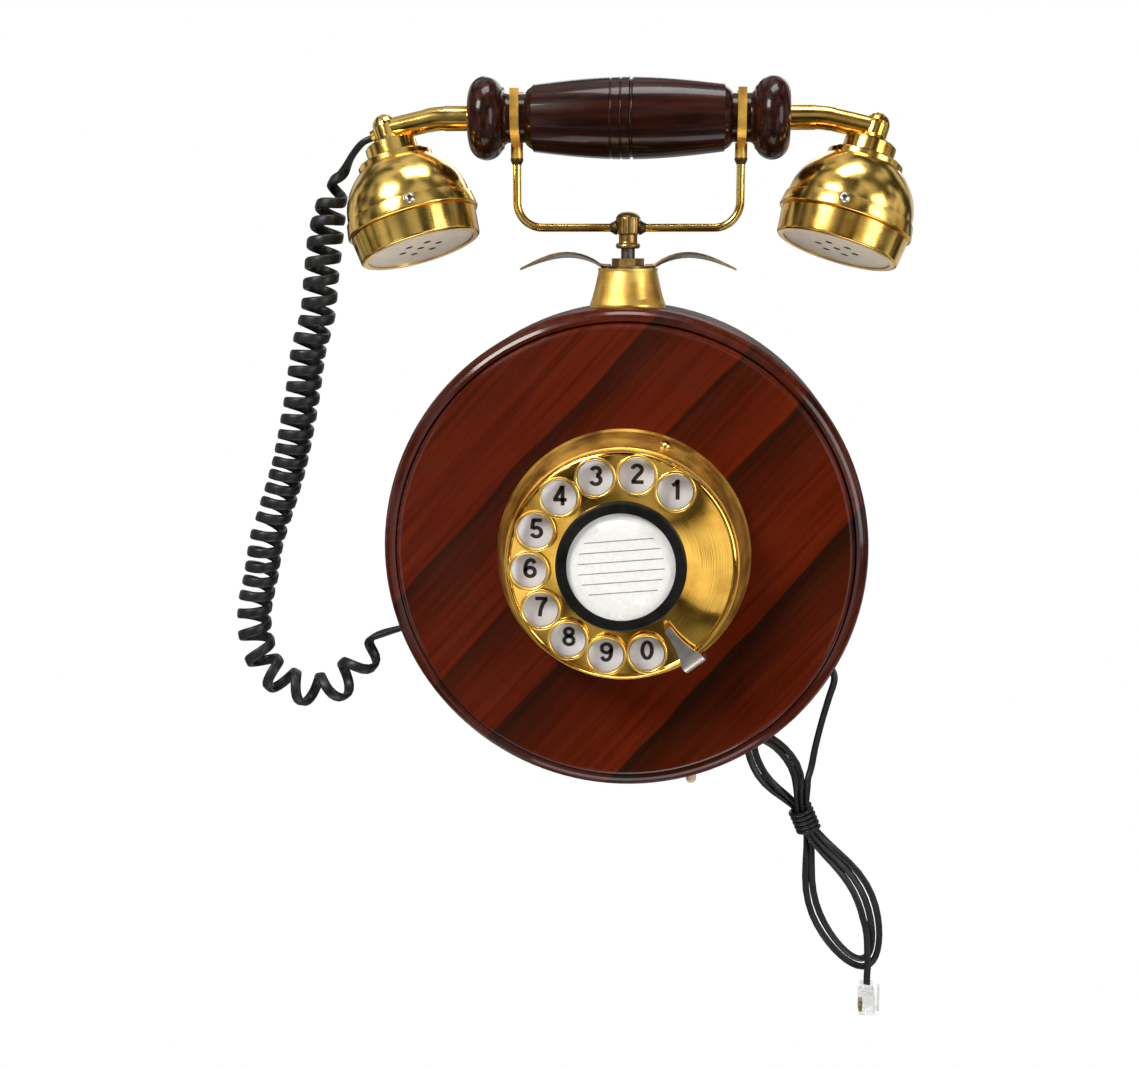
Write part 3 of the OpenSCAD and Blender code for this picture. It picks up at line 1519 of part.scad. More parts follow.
module ringer_sounder() {
  color(black) front() translate(concat(sounder_at, cover_t)) difference() {
    cylinder(d = sounder_d, h = sounder_h);
    translate([0, 0, sounder_h / 2]) cylinder(d = sounder_port_d, h = sounder_h);
  }
}

/* Cords */
module cord_grommet() {
  low = case_inner_r - grommet_tail;
  turned([
    [0, low], [grommet_d / 2, low], [grommet_d / 2, case_r], [grommet_flange_d / 2, case_r],
    [grommet_flange_d / 2 - 0.6, case_r + grommet_flange_t], [0, case_r + grommet_flange_t]
  ]);
}

module cord_grommets() {
  color(black) for (angle = [curl_exit_angle, line_exit_angle]) on_side_wall(angle) cord_grommet();
}

// A point on the line of a grommet
function wall_point(angle, r) = [r * cos(angle), -cord_exit_out, r * sin(angle)];

grommet_face_r = case_r + grommet_flange_t + fit;
spigot_tip = spigot_base + spigot_len * spigot_way;
curl_way = handset_point([-spigot_way.x, spigot_way.y, spigot_way.z]) - handset_point([0, 0, 0]);
curl_start = handset_point([-spigot_tip.x, spigot_tip.y, spigot_tip.z]) + clear * curl_way;
curl_lead = 2 * curl_cable_d;

// Route of the curly cord: x, y, z, curls so far, radius of the curls
curl_r = 6;
curl_route = [
  concat(curl_start, [0, 0]),
  concat(curl_start + curl_lead * curl_way, [0, 0]),
  [-114.5, -21, 150, 0.1, 0.5],
  [-120, -19, 138, 1, 4.5],
  [-123, -21, 123, 3, curl_r],
  [-125, -22, 107, 5, curl_r],
  [-127, -22, 91, 7, curl_r],
  [-131, -22, 77, 9, curl_r],
  [-134, -22, 59, 11.8, curl_r],
  [-137, -22, 44, 14, curl_r],
  [-140, -22, 31, 16.2, curl_r],
  [-143, -22, 21, 18, curl_r],
  [-147, -22, 9, 20, curl_r],
  [-151, -22, -3, 21.7, curl_r],
  [-154, -21, -18, 24, curl_r],
  [-157, -21, -31, 26, curl_r],
  [-157, -21, -44, 27.6, curl_r],
  [-152, -21, -58, 29, curl_r],
  [-140, -21, -66, 30.2, curl_r],
  [-125, -20, -66, 31.3, curl_r],
  [-113, -18, -56, 32.3, curl_r],
  [-106, -17, -46, 33, 2],
  concat(wall_point(curl_exit_angle, grommet_face_r + curl_lead), [33, 0]),
  concat(wall_point(curl_exit_angle, grommet_face_r), [33, 0])
];
rings_per_curl = 8;
lead_rings = 3;

// A point of the curly cord's cable at a parameter of its route
function curl_point(t) =
  let (
    p = spline(curl_route, t),
    q = spline(curl_route, min(t + 0.01, len(curl_route) - 1)),
    b = spline(curl_route, max(t - 0.01, 0)),
    d = unit([q.x - b.x, q.y - b.y, q.z - b.z]),
    n = unit([-d.z, 0, d.x]),
    e = cross(d, n),
    a = 360 * p[3],
    r = max(0, p[4])
  )
  [p.x, p.y, p.z] + r * (cos(a) * n + sin(a) * e);

curl_path = concat(
  [for (i = [0:len(curl_route) - 2])
    let (steps = max(lead_rings, ceil(rings_per_curl * (curl_route[i + 1][3] - curl_route[i][3]))))
    for (k = [0:steps - 1]) curl_point(i + k / steps)],
  [curl_point(len(curl_route) - 1)]
);

module handset_cord() { color(black) tube_along(curl_path, curl_cable_d, 6); }

// The line cord's hank
hank_waist = [76, -13, -122];
hank_tilt = 23;
hank_top = 40;
hank_top_lean = 8;
hank_bottom = 66;
hank_low_half = 8;
hank_top_half = 6;
hank_waist_len = 28;
hank_fan_len = 18;
hank_depth = 3.4;
rings_per_loop = 44;
hank_start_turn = 0.18;
hank_last_turn = hank_loops - 0.62;
hank_mid_turn = (hank_start_turn + hank_last_turn) / 2;
line_lead = 2 * line_cable_d;

// A point in the hank's own plane: across it, out of it and up it
function hank_place(side, out, s) =
  let (lean = hank_tilt + hank_top_lean * max(0, s) / hank_top)
  hank_waist + side * [cos(lean), 0, sin(lean)] + [0, -out, 0] + s * [-sin(lean), 0, cos(lean)];

// A point of the hank: down its right side in front, up its left side behind, inward
function hank_point(turn) =
  let (
    a = 360 * turn,
    nest = hank_step * (hank_loops - turn),
    s = (hank_top - hank_bottom) / 2 + ((hank_top + hank_bottom) / 2 - hank_step + nest) * cos(a),
    open = 1 - exp(-pow(s / (s < 0 ? hank_waist_len : hank_fan_len), 2)),
    eye = (s < 0 ? hank_low_half : hank_top_half) + nest,
    lane = hank_step * (hank_mid_turn - turn),
    side = sin(a) * (lane + (eye - lane) * open)
  )
  hank_place(side, hank_depth / 2 * sin(a), s);

hank_first = hank_point(hank_start_turn);
hank_first_way = unit(hank_point(hank_start_turn + 0.01) - hank_first);

// Route of the line cord from its grommet to the hank
line_route = [
  wall_point(line_exit_angle, grommet_face_r),
  wall_point(line_exit_angle, grommet_face_r + line_lead),
  [86.8, -16.6, -60],
  [84.6, -17, -68],
  [82, -17, -78],
  [79.6, -17, -89],
  [78.2, -16.4, -98],
  hank_first - line_lead * hank_first_way,
  hank_first
];
line_rings = 4;
line_path = [for (i = [0:line_rings * (len(line_route) - 1)]) spline(line_route, i / line_rings)];

module line_cord() { color(black) tube_along(line_path, line_cable_d, 8); }

// The tail hangs in front of the loops, down to the plug
plug_at = [104, -18, -194];
tail_route = [
  hank_point(hank_last_turn - 0.1),
  hank_point(hank_last_turn),
  plug_at + [0, 0, 3 * line_lead],
  plug_at + [0, 0, line_lead],
  plug_at
];
tail_rings = 4;
hank_rings = floor(rings_per_loop * (hank_last_turn - hank_start_turn));
hank_path = concat(
  [for (i = [0:hank_rings]) hank_point(hank_start_turn + i / rings_per_loop)],
  [for (i = [1:3 * tail_rings]) spline(tail_route, 1 + i / tail_rings)]
);

module line_cord_hank() { color(black) tube_along(hank_path, line_cable_d, 6); }

// The tie: a thin cord wound round the hank's waist
tie_d = 1.4;
tie_pitch = 2.2;
tie_room_side = 1.5;
tie_room_out = 1.5;
tie_rings = 16;
tie_half_side = hank_step * (hank_mid_turn - hank_start_turn) + line_cable_d / 2 + tie_d + tie_room_side;
tie_half_out = hank_depth / 2 + line_cable_d / 2 + tie_d + tie_room_out;
tie_path = [for (i = [0:tie_rings * tie_turns]) let (t = i / tie_rings)
  hank_place(tie_half_side * cos(360 * t), tie_half_out * sin(360 * t), tie_pitch * (t - tie_turns / 2))];

module cord_tie() { color(black) tube_along(tie_path, tie_d, 6, [1, 0, 0]); }

plug_w = 9.6;
plug_d = 6.6;
plug_l = 12;
latch_w = 3.2;
latch_t = 0.9;
latch_out = 2.2;
latch_root = 1;

module line_plug() {
  color("gainsboro", 0.7) translate(plug_at) rotate([0, 0, 90]) {
    translate([-plug_w / 2, -plug_d / 2, -plug_l]) cube([plug_w, plug_d, plug_l]);
    // Latch spring
    translate([-latch_w / 2, -plug_d / 2 - latch_out, latch_root - plug_l]) {
      cube([latch_w, latch_t, plug_l]);
      cube([latch_w, latch_out + fit, latch_root]);
    }
  }
}

echo(curly_cord_gap = least_gap(curl_path, curl_cable_d, 5), curly_cord_length = path_length(curl_path));
echo(hank_gap = least_gap(hank_path, line_cable_d, 4), hank_length = path_length(hank_path));
echo(line_cord_length = path_length(line_path));
echo(tie_gap = least_gap(tie_path, tie_d, 6));

case_shell();
rear_cover();
cover_screws();
hanger_plate();
hanger_screws();
dial_cup();
dial_cup_screw();
number_plate();
finger_stop();
dial_front_plate();
dial_fix_screws();
dial_rear_bridge();
bridge_screws();
dial_mainspring();
pulse_contacts();
governor_cup();
finger_wheel();
card_ring();
dial_card();
card_window();
dial_shaft();
main_gear();
pulse_gear();
pulse_shaft();
pulse_cam();
governor_wheel();
governor_shaft();
governor_weights();
cradle_cone();
leaf_wings();
cradle_nut();
plunger_bush();
bush_locknut();
hook_switch_bracket();
hook_switch_contacts();
hook_spring();
plunger_rod();
cradle_thimble();
fork_rod();
saddles();
grip();
arm_left();
arm_right();
bell_left();
bell_right();
bell_caps();
grilles();
receiver_capsule();
transmitter_capsule();
bell_screws();
ringer_button();
ringer_switch();
circuit_board();
ringer_sounder();
cord_grommets();
handset_cord();
line_cord();
line_cord_hank();
cord_tie();
line_plug();
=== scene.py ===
"""Dresses the rotary wall telephone: camera, light, cords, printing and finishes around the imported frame."""

import math

import bmesh
import bpy
from mathutils import Matrix, Vector


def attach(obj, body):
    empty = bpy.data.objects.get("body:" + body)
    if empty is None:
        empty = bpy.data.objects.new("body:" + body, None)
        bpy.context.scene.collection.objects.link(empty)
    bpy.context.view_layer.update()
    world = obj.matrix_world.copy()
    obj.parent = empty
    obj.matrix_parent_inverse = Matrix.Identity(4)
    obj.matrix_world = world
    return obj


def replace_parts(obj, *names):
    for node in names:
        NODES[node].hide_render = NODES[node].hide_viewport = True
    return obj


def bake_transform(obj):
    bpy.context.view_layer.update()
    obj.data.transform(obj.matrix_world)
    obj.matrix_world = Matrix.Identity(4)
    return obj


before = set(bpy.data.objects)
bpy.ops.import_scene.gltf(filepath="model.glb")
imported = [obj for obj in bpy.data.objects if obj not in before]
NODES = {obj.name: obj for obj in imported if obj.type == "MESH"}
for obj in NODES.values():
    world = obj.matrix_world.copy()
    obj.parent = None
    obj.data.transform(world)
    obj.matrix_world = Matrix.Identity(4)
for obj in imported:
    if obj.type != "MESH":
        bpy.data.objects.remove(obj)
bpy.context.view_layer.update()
SCENE = bpy.context.scene
MM = 0.001
RIGHT = (1, 0, 0)
FRONT = (0, -1, 0)
BACK = (0, 1, 0)
UP = (0, 0, 1)
WHITE = (1, 1, 1)
BLACK = (0, 0, 0)

# Camera, fitted to the photograph: its focal length in pixels, its place and what it looks at, in mm
PHOTO_W = 1140
FOCAL_PX = 1750
SENSOR_W = 36
NEAREST = 10
CAMERA_AT = Vector((26.09, -732.69, 127.06))
LOOK_AT = Vector((-22, -45, 5.5))


def add_object(name, data):
    obj = bpy.data.objects.new(name, data)
    SCENE.collection.objects.link(obj)
    return obj


def facing(at, target):
    """The rotation of a camera or a light that looks from one point to another."""
    return (target - at).to_track_quat("-Z", "Y").to_euler()


def add_camera():
    data = bpy.data.cameras.new("camera")
    data.sensor_fit = "HORIZONTAL"
    data.sensor_width = SENSOR_W
    data.lens = FOCAL_PX / PHOTO_W * SENSOR_W
    data.clip_start = NEAREST * MM
    camera = add_object("camera", data)
    camera.location = CAMERA_AT * MM
    camera.rotation_euler = facing(CAMERA_AT, LOOK_AT)
    SCENE.camera = camera


add_camera()


# Curves and meshes, built in mm in the row frame

def on_circle(r, angle):
    """Both coordinates of a point on a circle."""
    return r * math.cos(angle), r * math.sin(angle)


def bow(cx, cy, rx, ry, first, last, steps=24):
    """Points of an arc, from one angle in degrees to another."""
    angles = [math.radians(first + (last - first) * i / steps) for i in range(steps + 1)]
    return [Vector((cx + rx * math.cos(a), cy + ry * math.sin(a))) for a in angles]


def ring(r, steps):
    """Points of a whole circle about the origin."""
    return bow(0, 0, r, r, 0, 360, steps)[:-1]


def spline(points, t):
    """A point on a smooth curve through points, at a parameter that counts them."""
    n = len(points)
    i = min(int(t), n - 2)
    u = t - i
    p1, p2 = points[i], points[i + 1]
    p0 = points[i - 1] if i > 0 else 2 * p1 - p2
    p3 = points[i + 2] if i < n - 2 else 2 * p2 - p1
    return 0.5 * (2 * p1 + (p2 - p0) * u + (2 * p0 - 5 * p1 + 4 * p2 - p3) * u * u
                  + (3 * p1 - p0 - 3 * p2 + p3) * u * u * u)


def swung(points, steps=8):
    """A smooth curve through points."""
    points = [Vector(p) for p in points]
    return [spline(points, i / steps) for i in range(steps * (len(points) - 1) + 1)]


def add_mesh(name, points, faces, material, smooth=True, edge=None):
    """A mesh piece; edge is the angle in degrees above which a smooth piece keeps an edge."""
    mesh = bpy.data.meshes.new(name)
    mesh.from_pydata([Vector(p) * MM for p in points], [], faces)
    shape = bmesh.new()
    shape.from_mesh(mesh)
    bmesh.ops.recalc_face_normals(shape, faces=shape.faces)
    shape.to_mesh(mesh)
    shape.free()
    mesh.polygons.foreach_set("use_smooth", [smooth] * len(mesh.polygons))
    if edge:
        mesh.set_sharp_from_angle(angle=math.radians(edge))
    mesh.materials.append(material)
    return add_object(name, mesh)


def place(origin, z_axis, x_hint=RIGHT):
    """A frame at a point whose local z is the given axis."""
    z = Vector(z_axis).normalized()
    x = Vector(x_hint)
    x = (x - z * x.dot(z)).normalized()
    y = z.cross(x)
    m = Matrix((x, y, z)).transposed().to_4x4()
    m.translation = Vector(origin)
    return m


def turned(profile, at, steps=48, shell=False):
    """Points and faces of a profile of (radius, height), turned about local z of a frame.

    A shell's profile runs round its whole section. Any other one is closed by a disc at each end.
    """
    points, faces = [], []
    n = len(profile)
    for k in range(steps):
        a = 2 * math.pi * k / steps
        points += [at @ Vector((*on_circle(r, a), h)) for r, h in profile]
    for k in range(steps):
        here, after = k * n, (k + 1) % steps * n
        for i in range(n if shell else n - 1):
            up = (i + 1) % n
            faces.append((here + i, after + i, after + up, here + up))
    if not shell:
        faces.append([k * n for k in range(steps)])
        faces.append([k * n + n - 1 for k in range(steps)])
    return points, faces


def pierced(r, holes, t, at, steps=48):
    """Points and faces of a disc with round holes of (x, y, radius), up local z of a frame."""
    shape = bmesh.new()
    edges = []
    for x, y, hole_r in [(0, 0, r)] + holes:
        loop = [shape.verts.new((x + p.x, y + p.y, 0)) for p in ring(hole_r, steps)]
        edges += [shape.edges.new((loop[i - 1], loop[i])) for i in range(steps)]
    bmesh.ops.triangle_fill(shape, use_beauty=True, edges=edges)
    risen = bmesh.ops.extrude_face_region(shape, geom=shape.faces[:], use_keep_orig=True)["geom"]
    bmesh.ops.translate(shape, vec=(0, 0, t), verts=[v for v in risen if isinstance(v, bmesh.types.BMVert)])
    shape.verts.index_update()
    points = [at @ v.co for v in shape.verts]
    faces = [[v.index for v in face.verts] for face in shape.faces]
    shape.free()
    return points, faces


def block(size, at):
    """Points and faces of a box centred in a frame."""
    half = Vector(size) / 2
    corners = [(x, y, z) for x in (-1, 1) for y in (-1, 1) for z in (-1, 1)]
    points = [at @ Vector((c[0] * half.x, c[1] * half.y, c[2] * half.z)) for c in corners]
    faces = [(0, 1, 3, 2), (4, 6, 7, 5), (0, 4, 5, 1), (2, 3, 7, 6), (0, 2, 6, 4), (1, 5, 7, 3)]
    return points, faces


def joined(shapes):
    """Several lots of points and faces as one."""
    points, faces = [], []
    for p, f in shapes:
        faces += [[i + len(points) for i in face] for face in f]
        points += p
    return points, faces


def ride(obj, body):
    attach(obj, body)
    return obj


# Finishes. Most noise lies within NOISE_BAND
NOISE_BAND = (0.3, 0.7)


class Nodes:
    """A tree of shader nodes, built up from one set of coordinates."""

    def __init__(self, tree, coordinates):
        self.tree = tree
        self.nodes = tree.nodes
        self.where = self.nodes.new("ShaderNodeTexCoord").outputs[coordinates]

    def link(self, a, b):
        self.tree.links.new(a, b)

    def set(self, socket, value):
        """Gives a socket a number, a vector or another node's output."""
        if isinstance(value, bpy.types.NodeSocket):
            self.link(value, socket)
        else:
            socket.default_value = value

    def math(self, operation, a, b=0.0):
        node = self.nodes.new("ShaderNodeMath")
        node.operation = operation
        self.set(node.inputs[0], a)
        self.set(node.inputs[1], b)
        return node.outputs[0]

    def vector(self, operation, a, b=(0, 0, 0)):
        """A vector operation; a dot product and a length give a number."""
        node = self.nodes.new("ShaderNodeVectorMath")
        node.operation = operation
        self.set(node.inputs[0], a)
        self.set(node.inputs[1], b)
        return node.outputs["Value" if operation in ("DOT_PRODUCT", "LENGTH") else "Vector"]

    def radius(self):
        """The distance from the dial's axis."""
        return self.vector("LENGTH", self.vector("MULTIPLY", self.where, (1, 0, 1)))

    def stretched(self, scale, turn=(0, 0, 0)):
        node = self.nodes.new("ShaderNodeMapping")
        node.vector_type = "TEXTURE"
        node.inputs["Rotation"].default_value = [math.radians(a) for a in turn]
        node.inputs["Scale"].default_value = scale
        self.link(self.where, node.inputs["Vector"])
        return node.outputs["Vector"]

    def noise(self, scale, vector=None, detail=3.0, rough=0.55):
        node = self.nodes.new("ShaderNodeTexNoise")
        node.inputs["Scale"].default_value = scale
        node.inputs["Detail"].default_value = detail
        node.inputs["Roughness"].default_value = rough
        self.link(vector or self.where, node.inputs["Vector"])
        return node.outputs["Fac"]

    def lines(self, along, scale, detail=2.0):
        """Noise along one number, for turned and brushed lines."""
        node = self.nodes.new("ShaderNodeTexNoise")
        node.noise_dimensions = "1D"
        node.inputs["Scale"].default_value = scale
        node.inputs["Detail"].default_value = detail
        self.link(along, node.inputs["W"])
        return node.outputs["Fac"]

    def ramp(self, value, stops):
        node = self.nodes.new("ShaderNodeValToRGB")
        band = node.color_ramp.elements
        while len(band) < len(stops):
            band.new(1.0)
        for element, (at, colour) in zip(band, stops):
            element.position = at
            element.color = (*colour, 1)
        self.link(value, node.inputs["Fac"])
        return node.outputs["Color"]

    def fade(self, value, band, first, last):
        """From one colour to another over a band of a value."""
        return self.ramp(value, list(zip(band, (first, last))))

    def spread(self, value, low, high, band=NOISE_BAND):
        """A value within a band, spread from low to high."""
        node = self.nodes.new("ShaderNodeMapRange")
        node.inputs["From Min"].default_value, node.inputs["From Max"].default_value = band
        node.inputs["To Min"].default_value = low
        node.inputs["To Max"].default_value = high
        self.link(value, node.inputs["Value"])
        return node.outputs["Result"]

    def multiply(self, a, b, share=1.0):
        node = self.nodes.new("ShaderNodeMix")
        node.data_type = "RGBA"
        node.blend_type = "MULTIPLY"
        node.inputs["Factor"].default_value = share
        self.link(a, node.inputs["A"])
        self.link(b, node.inputs["B"])
        return node.outputs["Result"]


class Finish(Nodes):
    """A procedural material in the row frame's own coordinates."""

    def __init__(self, name, **shader):
        self.material = bpy.data.materials.new(name)
        self.material.use_nodes = True
        super().__init__(self.material.node_tree, "Object")
        self.shader = self.nodes["Principled BSDF"]
        for socket, value in shader.items():
            self.shader.inputs[socket.replace("_", " ")].default_value = value

    def colour(self, value):
        self.link(value, self.shader.inputs["Base Color"])

    def roughness(self, value):
        self.link(value, self.shader.inputs["Roughness"])

    def gloss(self, scale, low, high):
        """A roughness that wanders between two values."""
        self.roughness(self.spread(self.noise(scale), low, high))

    def bump(self, height, distance, strength=1.0):
        node = self.nodes.new("ShaderNodeBump")
        node.inputs["Distance"].default_value = distance
        node.inputs["Strength"].default_value = strength
        self.link(height, node.inputs["Height"])
        self.link(node.outputs["Normal"], self.shader.inputs["Normal"])


# Plain finishes: the band of noise between their colours, and their gloss as shares of a roughness
PLAIN_BAND = (0.35, 0.65)
PLAIN_GLOSS = (0.8, 1.25)
PLAIN_GLOSS_GRAIN = 3
PLAIN_RELIEF = 0.4


def plain(name, dark, light, rough, grain=300, bump=0.00002, **shader):
    """A finish with slight mottling in its colour, its gloss and its surface."""
    finish = Finish(name, **shader)
    mottle = finish.noise(grain)
    finish.colour(finish.fade(mottle, PLAIN_BAND, dark, light))
    finish.gloss(grain / PLAIN_GLOSS_GRAIN, rough * PLAIN_GLOSS[0], rough * PLAIN_GLOSS[1])
    finish.bump(mottle, bump, PLAIN_RELIEF)
    return finish.material


# Brass: its colours, its tarnish and the fine lines left by turning; noise scales are per metre
BRASS_DEEP = (0.48, 0.22, 0.024)
BRASS_BRIGHT = (0.88, 0.53, 0.10)
BRASS_PALE = (0.94, 0.64, 0.165)
BRASS_GLOSS = (0.7, 1.5)
BRASS_GLOSS_SCALE = 90
TARNISH_SCALE = 38
TARNISH_BAND = (0.30, 0.52)
TURNING_SCALE = 2600
TURNING_BAND = (0.3, 0.6)
TURNING_TINT = (0.86, 0.82, 0.74)
TURNING_SHARE = 0.7
TURNING_DEPTH = 0.00001
WAVE_SCALE = 26


def folded(finish):
    """Coordinates whose left half mirrors the right one."""
    parts = finish.nodes.new("ShaderNodeSeparateXYZ")
    finish.link(finish.where, parts.inputs[0])
    whole = finish.nodes.new("ShaderNodeCombineXYZ")
    finish.link(finish.math("ABSOLUTE", parts.outputs["X"]), whole.inputs["X"])
    for axis in ("Y", "Z"):
        finish.link(parts.outputs[axis], whole.inputs[axis])
    return whole.outputs["Vector"]


def brass(name, axis=None, radial=False, rough=0.16, both_sides=False, waves=0.0, dish=0.0,
          bright=BRASS_BRIGHT):
    """Brass with a little tarnish, and with turned lines along an axis or out from the dial's axis."""
    finish = Finish(name, Metallic=1.0)
    colour = finish.fade(finish.noise(TARNISH_SCALE, detail=5.0), TARNISH_BAND, BRASS_DEEP, bright)
    finish.gloss(BRASS_GLOSS_SCALE, rough * BRASS_GLOSS[0], rough * BRASS_GLOSS[1])
    if axis or radial:
        where = folded(finish) if both_sides else finish.where
        along = finish.radius() if radial else finish.vector("DOT_PRODUCT", where, axis)
        lines = finish.lines(along, TURNING_SCALE)
        height = finish.math("MULTIPLY", lines, TURNING_DEPTH)
        if waves:
            swell = finish.noise(WAVE_SCALE, detail=1.0)
            height = finish.math("ADD", height, finish.math("MULTIPLY", swell, waves))
        if dish:
            height = finish.math("SUBTRACT", height, finish.math("MULTIPLY", along, dish))
        finish.bump(height, 1.0)
        tint = finish.fade(lines, TURNING_BAND, TURNING_TINT, WHITE)
        colour = finish.multiply(colour, tint, TURNING_SHARE)
    finish.colour(colour)
    return finish.material


# Wood: streaks along the grain under a thin coat
COAT_ROUGH = 0.08
WOOD_SPECULAR = 0.1
STREAK_DETAIL = 6.0
STREAK_ROUGH = 0.65
GRAIN_SCALE = 2.0
GRAIN_BAND = (0.34, 0.66)
GRAIN_GLOSS_SCALE = 50
GRAIN_GLOSS = (0.2, 0.36)
GRAIN_DEPTH = 0.00006
GRAIN_RELIEF = 0.4


def grain_wood(name, dark, light, scale, coat=0.7):
    """Plain wood with its grain along one axis."""
    finish = Finish(
        name, Coat_Weight=coat, Coat_Roughness=COAT_ROUGH, Coat_IOR=1.3, Specular_IOR_Level=WOOD_SPECULAR)
    streaks = finish.noise(GRAIN_SCALE, finish.stretched(scale), STREAK_DETAIL, STREAK_ROUGH)
    finish.colour(finish.fade(streaks, GRAIN_BAND, dark, light))
    finish.gloss(GRAIN_GLOSS_SCALE, *GRAIN_GLOSS)
    finish.bump(streaks, GRAIN_DEPTH, GRAIN_RELIEF)
    return finish.material


# The case: strips glued side by side, each dark at its upper left edge and lighter towards the next.
# STRIP_EDGES has where each strip begins, in mm, and how dark it is there. STRIP_SHADES has shares of a
# strip's width and how far it has lightened there
STRIP_LEAN = 48
STRIP_EDGES = [(-97, 0.5), (-54, 0.9), (-19, 0.85), (11, 1.0), (57, 1.1)]
STRIP_SHADES = [(0.0, 0.0), (0.16, 0.3), (0.5, 0.75), (0.985, 1.0)]
STRIP_SPAN = 100
WANDER_SCALE = 9
WANDER = 0.0022
WOOD_DARK = Vector((0.026, 0.0060, 0.0020))
WOOD_LIGHT = Vector((0.110, 0.0120, 0.0020))
CASE_GRAIN = (0.12, 0.012, 0.0045)
CASE_STREAK_SCALE = 2.2
CASE_STREAK_BAND = (0.32, 0.62)
CASE_STREAK = (0.50, 0.42, 0.40)
CASE_STREAK_SHARE = 0.85
CASE_PORE_SCALE = 5
CASE_PORE_DEPTH = 0.00008
CASE_PORE_RELIEF = 0.35
CASE_GLOSS_SCALE = 40
CASE_GLOSS = (0.18, 0.34)
CASE_COAT = 0.5
# The radii in mm over which the rim and the side begin
RIM_BAND = (88.5, 90.5)
RIM_SHADE = (0.75, 0.8, 0.85)
SIDE_BAND = (95, 95.95)
SIDE_COAT_LOSS = 0.42
SIDE_DULL = 0.3


def strip_stops():
    """The strips' colours on a ramp that runs across them."""
    stops = []
    edges = STRIP_EDGES + [(STRIP_SPAN, 1.0)]
    for (start, depth), (end, _) in zip(edges, edges[1:]):
        shade = WOOD_LIGHT.lerp(WOOD_DARK, depth)
        for part, light in STRIP_SHADES:
            at = start + (end - start) * part
            stops.append((0.5 + at / (2 * STRIP_SPAN), shade.lerp(WOOD_LIGHT, light)))
    return stops


def strip_wood(name):
    """The case's wood: strips, streaks, a cooler rim, and a side duller than the face."""
    finish = Finish(
        name, Coat_Weight=CASE_COAT, Coat_Roughness=COAT_ROUGH, Specular_IOR_Level=WOOD_SPECULAR)
    lean = math.radians(STRIP_LEAN)
    across = finish.vector("DOT_PRODUCT", finish.where, (math.sin(lean), 0, -math.cos(lean)))
    across = finish.math("ADD", across, finish.spread(finish.noise(WANDER_SCALE), -WANDER, WANDER))
    share = finish.math("ADD", finish.math("MULTIPLY", across, 0.5 / (STRIP_SPAN * MM)), 0.5)
    colour = finish.ramp(share, strip_stops())
    grain = finish.stretched(CASE_GRAIN, (0, -STRIP_LEAN, 0))
    streaks = finish.noise(CASE_STREAK_SCALE, grain, STREAK_DETAIL, STREAK_ROUGH)
    streaks = finish.fade(streaks, CASE_STREAK_BAND, CASE_STREAK, WHITE)
    colour = finish.multiply(colour, streaks, CASE_STREAK_SHARE)
    radius = finish.math("MULTIPLY", finish.radius(), 1 / (STRIP_SPAN * MM))
    rim = finish.fade(radius, [r / STRIP_SPAN for r in RIM_BAND], WHITE, RIM_SHADE)
    finish.colour(finish.multiply(colour, rim))
    side = finish.fade(radius, [r / STRIP_SPAN for r in SIDE_BAND], BLACK, WHITE)
    coat = finish.math("ADD", finish.math("MULTIPLY", side, -SIDE_COAT_LOSS), CASE_COAT)
    finish.set(finish.shader.inputs["Coat Weight"], coat)
    gloss = finish.spread(finish.noise(CASE_GLOSS_SCALE), *CASE_GLOSS)
    finish.roughness(finish.math("ADD", gloss, finish.math("MULTIPLY", side, SIDE_DULL)))
    finish.bump(finish.noise(CASE_PORE_SCALE, grain, detail=4.0), CASE_PORE_DEPTH, CASE_PORE_RELIEF)
    return finish.material


CLEAR_TINT_SCALE = 200
CLEAR_GLOSS_SCALE = 120


def clear(name, tint, rough, **shader):
    finish = Finish(name, Transmission_Weight=0.92, IOR=1.49, **shader)
    finish.colour(finish.fade(finish.noise(CLEAR_TINT_SCALE), NOISE_BAND, tint, WHITE))
    finish.gloss(CLEAR_GLOSS_SCALE, rough, rough * 2)
    return finish.material


# The handset hangs rolled, and its bells are tilted. In its own frame the right bell's face is at BELL_AT
HANDSET_AT = Vector((0, -30, 168.7))
HANDSET_ROLL = Matrix.Rotation(math.radians(-12), 4, "X")
BELL_AT = (81, 0, -52)
BELL_TILT = Matrix.Rotation(math.radians(17.3), 4, "Y")
BELL_AXIS = HANDSET_ROLL @ BELL_TILT @ Vector(UP)

case_wood = strip_wood("case_wood")
cover_wood = grain_wood("cover_wood", (0.04, 0.016, 0.008), (0.10, 0.04, 0.02), (0.012, 0.01, 0.16), coat=0.2)
grip_wood = grain_wood("grip_wood", (0.006, 0.0018, 0.001), (0.036, 0.0065, 0.003), (0.14, 0.007, 0.007))
brass_plain = brass("brass_plain", bright=BRASS_PALE)
brass_satin = brass("brass_satin", rough=0.4)
brass_lip = brass("brass_lip", rough=0.26, bright=BRASS_PALE)
brass_bell = brass("brass_bell", BELL_AXIS, both_sides=True, bright=BRASS_PALE)
brass_cup = brass("brass_cup", BACK, rough=0.4)
brass_wheel = brass("brass_wheel", radial=True, rough=0.12, waves=0.003, dish=0.2)
brass_upright = brass("brass_upright", UP, rough=0.36, bright=BRASS_PALE)
brass_dull = plain("brass_dull", (0.22, 0.13, 0.045), (0.45, 0.29, 0.10), 0.4, Metallic=1.0)
brass_olive = plain("brass_olive", (0.20, 0.12, 0.035), (0.42, 0.28, 0.09), 0.3, grain=160, Metallic=1.0)
